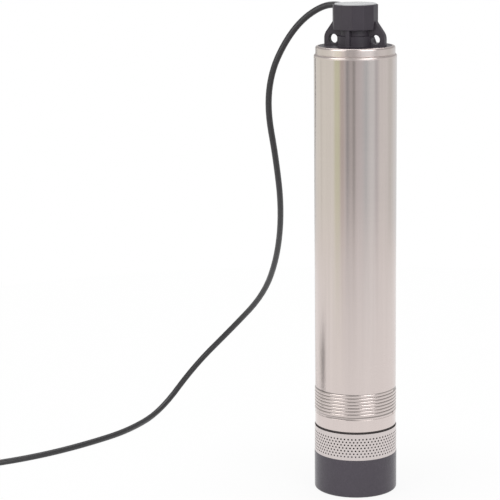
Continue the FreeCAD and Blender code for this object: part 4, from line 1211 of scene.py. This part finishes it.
@dataclass
class Strainer:
    """The perforated steel band round the intake, with every hole open."""

    radius: float = 0.0498
    wall: float = 0.0008
    bottom: float = 0.047
    top: float = 0.0796
    holes_round: int = 70
    rows: int = 7
    row_pitch: float = 0.0036
    first_row: float = 0.0516
    hole_radius: float = 0.00102
    hole_sides: int = 16
    border_slack: float = 0.01
    angle_slack: float = 1.0

    def half_cell(self) -> Pair:
        """Gives half the width and half the height of the plate round one hole."""
        return self.radius * math.tan(math.pi / self.holes_round), self.row_pitch / 2

    def on_border(self, point: bpy.types.MeshVertex, angle: float) -> bool:
        """Tells whether a point of the plate is on its border, in one direction in any quarter.

        Args:
            point: The point, on or inside a circle that was widened to the plate's size.
            angle: The direction on that circle, in degrees from the level.

        Returns:
            Whether it is there.
        """
        half_width, half_height = self.half_cell()
        side, rise = abs(point.co.y) / half_width, abs(point.co.z) / half_height
        turn = math.degrees(math.atan2(rise, side)) - angle
        return abs(math.hypot(side, rise) - 1) < self.border_slack and abs(turn) < self.angle_slack

    def build_cell(self) -> Piece:
        """Shapes the flat plate round one hole, an oblong with sixteen points on its border.

        Returns:
            The plate, where it stands in the band.
        """
        cell = Bench.circle(self.hole_sides, self.hole_radius, rotation=(math.pi / 2, 0, math.pi / 2))
        Bench.edit(cell)
        bpy.ops.mesh.extrude_region_move()
        spread = [half / self.hole_radius for half in self.half_cell()]
        bpy.ops.transform.resize(value=(1, *spread), center_override=ORIGIN)
        step = 360.0 / self.hole_sides
        corner = math.sqrt(2.0)
        near = 1 / math.cos(math.radians(step))
        halfway = 0.5 / math.cos(math.radians(3 * step))
        shares = ((near, near), (corner, corner), (halfway, near))
        for number, (across, upward) in enumerate(shares, start=1):
            Bench.select(cell, lambda point, angle=number * step: self.on_border(point, angle))
            bpy.ops.transform.resize(value=(1, across, upward), center_override=ORIGIN)
        Bench.edit(cell)
        Bench.move(self.radius, 0, self.first_row)
        return cell

    def build_band(self) -> Piece:
        """Repeats the cell round the band and row on row, and bends it to the band's radius.

        Returns:
            The band with its wall.
        """
        band = Bench.repeated(self.build_cell(), self.holes_round)
        Bench.edit(band)
        for _ in range(self.rows - 1):
            bpy.ops.mesh.duplicate_move(TRANSFORM_OT_translate={"value": (0, 0, self.row_pitch)})
            Bench.rotate(180.0 / self.holes_round)
        bending = {"cast_type": "CYLINDER", "use_radius_as_size": False}
        Bench.modify(band, "CAST", size=self.radius, factor=1.0, **bending)
        Bench.edit(band)
        bpy.ops.mesh.remove_doubles(threshold=3 * DOUBLES)
        field_bottom = self.first_row - self.row_pitch / 2
        field_top = field_bottom + self.row_pitch * self.rows
        for border, edge in ((field_bottom, self.bottom), (field_top, self.top)):
            Bench.select(band, lambda point, border=border: abs(point.co.z - border) < DOUBLES)
            Bench.extrude(edge - border)
        Bench.outward(band)
        Bench.clear()
        first = band.data.polygons[0]
        if first.normal.dot(Vector((first.center.x, first.center.y, 0))) < 0:
            Bench.edit(band)
            bpy.ops.mesh.flip_normals()
        Bench.modify(band, "SOLIDIFY", thickness=self.wall, offset=-1.0)
        return band

    def build(self) -> None:
        """Builds and dresses the band."""
        fit(Bench.close(self.build_band(), "strainer"), BAND_STEEL, "strainer_band")


@dataclass
class Shell:
    """The steel tube with its rolled ridges, the cap above it and the ring below it."""

    sides: int = 192
    radius: float = 0.049
    wall: float = 0.001
    bottom: float = 0.097
    top: float = 0.5328
    lip_radius: float = 0.0474
    shoulder: float = 0.003
    shoulder_steps: int = 8
    ridge_turns: int = 8
    ridge_pitch: float = 0.004
    ridge_depth: float = 0.00085
    ridge_seat: float = 0.04875
    ridge_steps: int = 96
    cap_radius: float = 0.0472
    cap_wall: float = 0.0012
    cap_bottom: float = 0.5097
    cap_top: float = 0.5417
    cap_opening: float = 0.0436
    cap_round: float = 0.0024
    ring_radius: float = 0.0492
    ring_bottom: float = 0.082
    ring_ledge: float = 0.046
    ring_ledge_top: float = 0.090
    ring_bore: float = 0.048
    ring_round: float = 0.0005

    def build_tube(self) -> Piece:
        """Turns the plain tube with its shoulder at the top.

        Returns:
            The tube.
        """
        bend = self.shoulder - self.wall / 2
        start = self.top - self.shoulder
        inner = self.radius - self.wall
        outline = [
            (self.radius, self.bottom),
            *rounded((self.radius, start + bend), bend, TOP_CORNER, steps=self.shoulder_steps),
            (self.lip_radius, self.top),
            (self.lip_radius - self.wall, self.top),
            (inner - bend / 2, start),
            (inner, start - bend),
            (inner, self.bottom),
        ]
        return Bench.turned(outline, self.sides)

    def build_ridges(self) -> Piece:
        """Winds one rounded ridge round the foot of the tube.

        Returns:
            The ridge.
        """
        section = (self.ridge_depth, self.ridge_pitch / 2)
        first = (self.ridge_seat, self.bottom + self.ridge_pitch / 2)
        return Bench.helix(section, first, self.ridge_pitch, self.ridge_turns - 1, self.ridge_steps)

    def build_cap(self) -> Piece:
        """Turns the cap's skirt and its inward rim.

        Returns:
            The cap.
        """
        inner = self.cap_radius - self.cap_wall
        outline = [
            (self.cap_radius, self.cap_bottom),
            *rounded((self.cap_radius, self.cap_top), self.cap_round, TOP_CORNER),
            (self.cap_opening, self.cap_top),
            (self.cap_opening, self.cap_top - self.cap_wall),
            (inner, self.cap_top - self.cap_wall),
            (inner, self.cap_bottom),
        ]
        return Bench.turned(outline, self.sides)

    def build_ring(self) -> Piece:
        """Turns the plain ring that clamps the shell's lower end, with the ledge inside it.

        Returns:
            The ring.
        """
        outline = [
            (self.ring_ledge, self.ring_bottom),
            *rounded((self.ring_radius, self.ring_bottom), self.ring_round, LOW_CORNER),
            *rounded((self.ring_radius, self.bottom), self.ring_round, TOP_CORNER),
            (self.ring_bore, self.bottom),
            (self.ring_bore, self.ring_ledge_top),
            (self.ring_ledge, self.ring_ledge_top),
        ]
        return Bench.turned(outline, self.sides)

    def build(self) -> None:
        """Builds and dresses the steel."""
        tube = Bench.joined([self.build_tube(), self.build_ridges()])
        fit(Bench.close(tube, "steel_shell"), SHELL_STEEL, "shell")
        fit(Bench.close(self.build_cap(), "steel_cap"), CAP_STEEL, "end_cap")
        fit(Bench.close(self.build_ring(), "steel_ring"), STEEL, "clamp_ring")


@dataclass
class Foot:
    """The moulded foot and the screws in the hollow under it."""

    sides: int = 192
    radius: float = 0.0501
    top: float = 0.047
    lower_round: float = 0.0022
    upper_round: float = 0.0004
    ring_radius: float = 0.0421
    ring_round: float = 0.0008
    dish: float = 0.005
    floor_top: float = 0.012
    spigot_radius: float = 0.049
    spigot_bore: float = 0.0458
    spigot_top: float = 0.052
    middle: float = 0.004
    screws: int = 3
    screw_sides: int = 32
    screw_circle: float = 0.030
    screw_head: float = 0.0046
    screw_head_height: float = 0.003
    screw_round: float = 0.0012
    screw_shank: float = 0.0025
    screw_socket: float = 0.0024
    screw_socket_depth: float = 0.0018
    screw_top: float = 0.022

    def build_cup(self) -> Piece:
        """Turns the cup: a hollow under it, a rounded rim to stand on and a spigot for the strainer.

        Returns:
            The cup.
        """
        outline = [
            (self.middle, self.dish),
            (self.ring_radius - self.ring_round, self.dish),
            (self.ring_radius, self.dish - self.ring_round),
            (self.ring_radius, self.ring_round),
            (self.ring_radius + self.ring_round, 0.0),
            *rounded((self.radius, 0.0), self.lower_round, LOW_CORNER, steps=6),
            *rounded((self.radius, self.top), self.upper_round, TOP_CORNER, steps=3),
            (self.spigot_radius, self.top),
            (self.spigot_radius, self.spigot_top),
            (self.spigot_bore, self.spigot_top),
            (self.spigot_bore, self.floor_top),
            (self.middle, self.floor_top),
        ]
        return Bench.turned(outline, self.sides, Ends.CAPPED)

    def build_screw(self) -> Piece:
        """Turns a screw with a rounded head and presses the hexagonal socket into it.

        Returns:
            The screw, in its place in front of the axis.
        """
        low = self.dish - self.screw_head_height
        outline = [
            (self.screw_shank / 2, low),
            *rounded((self.screw_head, low), self.screw_round, LOW_CORNER, steps=4),
            (self.screw_head, self.dish),
            (self.screw_shank, self.dish),
            (self.screw_shank, self.screw_top),
        ]
        screw = Bench.turned(outline, self.screw_sides, Ends.CAPPED)
        Bench.outward(screw)
        Bench.carve(screw, Bench.prism(HEXAGON, self.screw_socket, 0.0, low + self.screw_socket_depth))
        Bench.edit(screw)
        Bench.move(self.screw_circle, 0, 0)
        return screw

    def build(self) -> None:
        """Builds and dresses the foot and its screws."""
        fit(Bench.close(self.build_cup(), "foot_moulding"), FOOT_BLACK, "foot")
        screws = Bench.repeated(self.build_screw(), self.screws)
        fit(Bench.close(screws, "foot_screw_set"), SCREW_STEEL, "foot_screws")


@dataclass
class Head:
    """The moulded discharge head with its rope ears."""

    sides: int = 128
    bottom: float = 0.5305
    base_radius: float = 0.0458
    base_top: float = 0.5405
    hub_radius: float = 0.0434
    hub_top: float = 0.5416
    drum_radius: float = 0.0213
    drum_top: float = 0.5535
    neck_radius: float = 0.0184
    channel: float = 0.014
    edge: float = 0.0005
    fillet: float = 0.0009
    collar_sides: int = 12
    collar_corner: float = 0.027
    collar_share: float = 1.2
    collar_edge: float = 0.0006
    collar_bottom: float = 0.561
    collar_top: float = 0.590
    thread_radius: float = 0.0195
    thread_depth: float = 0.0009
    thread_pitch: float = 0.0023
    thread_share: float = 0.45
    thread_turns: int = 8
    thread_steps: int = 64
    thread_corners: int = 6
    thread_bottom: float = 0.566
    lead_in: float = 0.0215
    lead_in_bottom: float = 0.586
    ear_reach: float = 0.0385
    ear_half: float = 0.00375
    ear_root: float = 0.0146
    ear_shoulder: float = 0.5545
    ear_top: float = 0.5705
    ear_round: float = 0.004
    ear_round_steps: int = 8
    eye_reach: float = 0.0269
    eye_height: float = 0.5493
    eye_radius: float = 0.0055
    eye_sides: int = 64
    rib_half: float = 0.0026
    rib_reach: float = 0.0236
    rib_root: float = 0.0146

    def build_core(self) -> Piece:
        """Turns the base disc, hub, drum and neck round the water channel.

        Returns:
            The core.
        """
        outline = [
            (self.channel, self.bottom),
            (self.base_radius - self.edge, self.bottom),
            (self.base_radius, self.bottom + self.edge),
            (self.base_radius, self.base_top),
            (self.hub_radius, self.base_top),
            *rounded((self.hub_radius, self.hub_top), self.edge, TOP_CORNER, steps=3),
            *rounded((self.drum_radius, self.hub_top), self.fillet, INNER_CORNER, steps=3)[::-1],
            *rounded((self.drum_radius, self.drum_top), self.edge, TOP_CORNER, steps=3),
            *rounded((self.neck_radius, self.drum_top), self.fillet, INNER_CORNER, steps=3)[::-1],
            (self.neck_radius, self.collar_bottom + self.edge),
            (self.channel, self.collar_bottom + self.edge),
        ]
        return Bench.turned(outline, self.sides)

    def build_collar(self) -> Piece:
        """Shapes the collar: twelve soft-edged flats outside, thread wall and lead-in inside.

        Returns:
            The collar.
        """
        turn = 180.0 / self.collar_sides
        ends = (self.collar_bottom, self.collar_top)
        prism = Bench.prism(self.collar_sides, self.collar_corner, *ends, turn)
        beyond = self.collar_corner * self.collar_share
        below, over = self.collar_bottom - MM, self.collar_top + MM
        wall = self.thread_radius + self.thread_depth
        outline = [
            (self.channel, below),
            (beyond, below),
            (beyond, over),
            (self.lead_in + 2 * self.edge, over),
            (self.lead_in, self.collar_top - self.edge),
            (self.lead_in, self.lead_in_bottom),
            (wall, self.lead_in_bottom),
            (wall, self.thread_bottom),
            (self.channel, self.thread_bottom),
        ]
        return Bench.faceted(outline, prism, self.collar_edge)

    def build_thread(self) -> Piece:
        """Winds the outlet's inner thread.

        Returns:
            The thread.
        """
        section = (self.thread_depth, self.thread_pitch * self.thread_share)
        first = (self.thread_radius + self.thread_depth, self.thread_bottom + self.thread_pitch / 2)
        turns, steps = self.thread_turns, self.thread_steps
        return Bench.helix(section, first, self.thread_pitch, turns, steps, self.thread_corners)

    def build_rib(self, side: int) -> Piece:
        """Shapes an upright rib under the collar.

        Args:
            side: -1 for the rib in front and 1 for the one behind.

        Returns:
            The rib.
        """
        near, far = sorted((self.rib_root * side, self.rib_reach * side))
        low = self.hub_top - self.edge
        rib = Bench.slab((-self.rib_half, near, low), (self.rib_half, far, self.collar_bottom + self.edge))
        Bench.soften(rib, self.edge)
        return rib

    def build_ear(self) -> Piece:
        """Shapes the right ear: slanting top, rounded shoulder, soft edges and a round eye.

        Returns:
            The ear.
        """
        low = (self.ear_root, -self.ear_half, self.hub_top - self.edge)
        ear = Bench.slab(low, (self.ear_reach, self.ear_half, self.ear_top))
        shoulder = (self.ear_reach, 0, self.ear_shoulder)
        slope = (self.ear_top - self.ear_shoulder, 0, self.ear_reach - self.collar_corner)
        Bench.edit(ear)
        bpy.ops.mesh.bisect(plane_co=shoulder, plane_no=slope, use_fill=True, clear_outer=True)
        corner = (self.ear_reach, self.ear_shoulder)
        Bench.select(ear, lambda point: math.dist(point.co.xz, corner) < 10 * DOUBLES)
        bpy.ops.mesh.bevel(offset=self.ear_round, segments=self.ear_round_steps, affect="EDGES")
        Bench.outward(ear)
        drill = Bench.prism(self.eye_sides, self.eye_radius, -2 * self.ear_half, 2 * self.ear_half)
        Bench.edit(drill)
        Bench.rotate(90.0, "X")
        Bench.move(self.eye_reach, 0, self.eye_height)
        Bench.carve(ear, drill)
        Bench.soften(ear, self.edge, angle=50.0)
        return ear

    def build(self) -> None:
        """Builds and dresses the head."""
        shapes = [self.build_core(), self.build_collar(), self.build_thread()]
        shapes += [self.build_rib(side) for side in (-1, 1)]
        for shape in shapes:
            Bench.outward(shape)
        fit(Bench.close(Bench.joined(shapes), "head_moulding"), BLACK, "discharge_head")
        right = Bench.close(self.build_ear(), "rope_ear_right")
        left = Bench.mirrored(right, "rope_ear_left")
        fit(right, BLACK, "right_rope_ear")
        fit(left, BLACK, "left_rope_ear")


@dataclass
class OutletPlug:
    """The pale plug that closes the outlet for transport."""

    sides: int = 128
    flange: float = 0.0244
    low: float = 0.590
    top: float = 0.5912
    edge: float = 0.00055
    recess: float = 0.0214
    recess_depth: float = 0.0003
    skirt: float = 0.0213
    skirt_wall: float = 0.0014
    skirt_bottom: float = 0.5864
    middle: float = 0.003

    def build(self) -> None:
        """Turns the plug, with a rounded rim round a slightly sunk face."""
        floor = self.top - self.recess_depth
        outline = [
            (self.middle, floor),
            (self.recess - self.edge, floor),
            (self.recess, self.top),
            *rounded((self.flange, self.top), self.edge, TOP_CORNER)[::-1],
            (self.flange, self.low),
            (self.skirt, self.low),
            (self.skirt, self.skirt_bottom),
            (self.skirt - self.skirt_wall, self.skirt_bottom),
            (self.skirt - self.skirt_wall, self.low),
            (self.middle, self.low),
        ]
        plug = Bench.close(Bench.turned(outline, self.sides, Ends.CAPPED), "pale_plug")
        fit(plug, PLUG_GREY, "outlet_plug", body=Body.PLUG)


@dataclass
class Gland:
    """The cable gland on its leaning axis: sleeve, hexagonal nut and ribbed rubber boot."""

    root: Place = Cable.route[0]
    next_point: Place = Cable.route[1]
    sides: int = 64
    bore: float = 0.006
    sleeve_radius: float = 0.0078
    sleeve_low: float = -0.0202
    sleeve_top: float = -0.0082
    nut_corner: float = 0.0083
    nut_bore: float = 0.0056
    nut_top: float = -0.0037
    nut_edge: float = 0.00025
    nut_shares: Place = (1.2, 1.05, 0.82)
    edge: float = 0.0004
    grip: float = 0.00395
    boot_low: float = -0.0124
    boot_wide: float = 0.0059
    boot_waist: float = 0.0054
    boot_top: float = 0.0076
    boot_tip: float = 0.0047
    boot_ribs: int = 4
    boot_rib: Outline = ((0.15, 0.0), (0.65, 0.0), (0.75, 0.0004), (0.98, 0.0004))

    def build_sleeve(self) -> Piece:
        """Turns the sleeve that stands in the head.

        Returns:
            The sleeve.
        """
        outline = [
            (self.bore, self.sleeve_low),
            (self.sleeve_radius, self.sleeve_low),
            (self.sleeve_radius, self.sleeve_top - self.edge),
            (self.sleeve_radius - self.edge, self.sleeve_top),
            (self.bore, self.sleeve_top),
        ]
        return Bench.turned(outline, self.sides)

    def build_nut(self) -> Piece:
        """Shapes the nut: six soft-edged flats with a turned chamfer on top.

        Returns:
            The nut.
        """
        prism = Bench.prism(HEXAGON, self.nut_corner, self.sleeve_top, self.nut_top, turn=30.0)
        top = self.nut_top + self.edge
        wide, upper, chamfer = (self.nut_corner * share for share in self.nut_shares)
        outline = [
            (self.nut_bore, self.sleeve_top - self.edge),
            (wide, self.sleeve_top - self.edge),
            (upper, self.nut_top - 2 * self.edge),
            (chamfer, top),
            (self.nut_bore, top),
        ]
        return Bench.faceted(outline, prism, self.nut_edge)

    def build_boot(self) -> Piece:
        """Turns the tapered rubber boot with its ribs.

        Returns:
            The boot.
        """
        waist, tip = (self.boot_waist, self.nut_top), (self.boot_tip, self.boot_top)
        outline = [
            (self.grip, self.boot_low),
            (self.boot_wide, self.boot_low),
            (self.boot_wide, self.sleeve_top),
            (self.boot_waist, self.sleeve_top),
            waist,
            *ribbed(waist, tip, self.boot_rib, self.boot_ribs),
            (self.boot_tip - self.edge, self.boot_top),
            (self.grip, self.boot_top),
        ]
        return Bench.turned(outline, self.sides)

    def build(self) -> None:
        """Builds and dresses the gland, and leans it on the cable's first points."""
        parts = (
            (self.build_sleeve, "gland_sleeve", BLACK, "gland_body"),
            (self.build_nut, "gland_hex_nut", BLACK, "gland_nut"),
            (self.build_boot, "cable_boot", CABLE_RUBBER, "strain_relief"),
        )
        root = Vector(self.root)
        for make, name, finish, node in parts:
            leaning = Bench.stood(make(), root, Vector(self.next_point) - root)
            fit(Bench.close(leaning, name), finish, node)


@dataclass
class MainsPlug:
    """The round mains plug on the end of the cable's tail, with its two pins."""

    entry: Place = Cable.tail[-1]
    before: Place = Cable.tail[-2]
    sides: int = 96
    neck_mouth: float = 0.0054
    neck_chamfer: float = 0.0005
    neck_root: float = 0.0079
    neck_length: float = 0.022
    neck_rings: int = 4
    neck_ring: Outline = ((0.35, 0.0), (0.5, 0.0007), (0.85, 0.0007), (1.0, 0.0))
    neck_spare: float = 0.5
    face: float = 0.0152
    step: float = 0.003
    slope: float = 0.012
    slope_end: float = 0.002
    body_radius: float = 0.0182
    body_length: float = 0.034
    edge: float = 0.0016
    middle: float = 0.002
    grips: int = 16
    grip_half: float = 0.0011
    grip_reach: float = 0.0190
    grip_low: float = 0.036
    grip_top: float = 0.051
    grip_edge: float = 0.00045
    pins: int = 2
    pin_sides: int = 40
    pin_radius: float = 0.0024
    pin_length: float = 0.019
    pin_spacing: float = 0.019
    pin_round: float = 0.0019
    pin_root: float = 0.0019
    pin_flare: float = 0.0001

    def build_body(self) -> Piece:
        """Turns the ringed neck and the round body.

        Returns:
            The body.
        """
        mouth, root = (self.neck_mouth, 0.0), (self.neck_root, self.neck_length)
        full = self.neck_length + self.body_length
        outline = [
            (self.middle, 0.0),
            (self.neck_mouth - self.neck_chamfer, 0.0),
            (self.neck_mouth, self.neck_chamfer),
            *ribbed(mouth, root, self.neck_ring, self.neck_rings, self.neck_spare),
            root,
            (self.face - self.edge, self.neck_length + self.step / 2),
            (self.face, self.neck_length + self.step),
            (self.body_radius - self.neck_chamfer, self.neck_length + self.slope - self.slope_end),
            (self.body_radius, self.neck_length + self.slope),
            *rounded((self.body_radius, full), self.edge, TOP_CORNER, steps=4),
            (self.middle, full),
        ]
        return Bench.turned(outline, self.sides, Ends.CAPPED)

    def build_grips(self) -> Piece:
        """Shapes one raised grip and repeats it round the body.

        Returns:
            The grips.
        """
        low = (self.body_radius - MM, -self.grip_half, self.grip_low)
        grip = Bench.slab(low, (self.grip_reach, self.grip_half, self.grip_top))
        Bench.soften(grip, self.grip_edge)
        return Bench.repeated(grip, self.grips)

    def build_pins(self) -> Piece:
        """Turns one pin with a rounded tip and copies it to the other side.

        Returns:
            Both pins.
        """
        low = self.neck_length + self.body_length
        top = low + self.pin_length
        outline = [
            (self.pin_root, low),
            (self.pin_radius, low + self.pin_flare),
            *rounded((self.pin_radius, top), self.pin_round, TOP_CORNER),
        ]
        pin = Bench.turned(outline, self.pin_sides, Ends.CAPPED)
        Bench.edit(pin)
        Bench.move(0, self.pin_spacing / 2, 0)
        return Bench.repeated(pin, self.pins)

    def build(self) -> list[Piece]:
        """Builds and dresses the plug, and lays it in line with the cable's end.

        Returns:
            The pieces on the cord.
        """
        entry = Vector(self.entry)
        heading = entry - Vector(self.before)
        heading.z = 0
        body = Bench.stood(Bench.joined([self.build_body(), self.build_grips()]), entry, heading)
        fit(Bench.close(body, "mains_plug_body"), MAINS_RUBBER, "mains_plug")
        pins = Bench.stood(self.build_pins(), entry, heading)
        fit(Bench.close(pins, "mains_plug_pins"), BRASS, "mains_pins")
        return [body, pins]


@dataclass
class CoilTies:
    """The two woven straps round the coiled cable."""

    centre: Pair = Cable.coil_centre
    straps: int = 2
    angle: float = 70.0
    inner: float = 0.0501
    outer: float = 0.0895
    low: float = 0.0006
    top: float = 0.0318
    half_width: float = 0.006
    wall: float = 0.0006
    corner: float = 0.0036
    corner_steps: int = 5
    side_on: float = 0.9
    edge: float = 0.00012
    end_length: float = 0.017
    end_sunk: float = 0.9
    end_edge: float = 0.00025

    def build_strap(self) -> Piece:
        """Shapes one strap: a rounded sleeve with its free end pressed on over it.

        Returns:
            The strap.
        """
        strap = Bench.slab((self.inner, -self.half_width, self.low), (self.outer, self.half_width, self.top))
        Bench.select(strap, lambda face: abs(face.normal.y) > self.side_on, Element.FACE)
        bpy.ops.mesh.delete(type="FACE")
        Bench.select(strap, lambda edge: self.runs_across(strap, edge), Element.EDGE)
        bpy.ops.mesh.bevel(offset=self.corner, segments=self.corner_steps, affect="EDGES")
        Bench.outward(strap)
        Bench.modify(strap, "SOLIDIFY", thickness=self.wall, offset=1.0)
        Bench.soften(strap, self.edge, segments=2)
        middle = (self.inner + self.outer) / 2
        free_end = Bench.slab(
            (middle - self.end_length / 2, -self.half_width, self.top + self.wall * self.end_sunk),
            (middle + self.end_length / 2, self.half_width, self.top + self.wall * 2),
        )
        Bench.soften(free_end, self.end_edge, segments=2)
        return Bench.joined([strap, free_end])

    def runs_across(self, strap: Piece, edge: bpy.types.MeshEdge) -> bool:
        """Tells whether an edge runs from one side of the strap to the other."""
        ends = [strap.data.vertices[index].co.y for index in edge.vertices]
        return abs(ends[0] - ends[1]) > self.half_width

    def build(self) -> list[Piece]:
        """Builds and dresses both straps.

        Returns:
            The piece on the cord.
        """
        strap = self.build_strap()
        Bench.edit(strap)
        Bench.rotate(-self.angle)
        straps = Bench.repeated(strap, self.straps)
        Bench.edit(straps)
        Bench.move(*self.centre, 0)
        return [fit(Bench.close(straps, "coil_straps"), WEBBING, "coil_ties")]


def dress_nodes() -> None:
    """Gives every carried-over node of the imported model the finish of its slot."""
    finishes = {finish.slot.value: finish for finish in CARRIED_FINISHES}
    for part in frame["record"]["subparts"]:
        dress(frame["nodes"][part["node"]], finishes[part["material_slot"]])


def main() -> None:
    """Builds the studio and the pump, sub-assembly by sub-assembly."""
    logging.basicConfig(level=logging.INFO, format="%(name)s: %(message)s")
    bpy.context.scene.view_settings.view_transform = "Standard"
    Studio().build()
    dress_nodes()
    for assembly in (Cable(), Foot(), Strainer(), Shell(), Head(), Gland(), OutletPlug()):
        log.info("building the %s", type(assembly).__name__)
        assembly.build()


if __name__ == "__main__":
    main()
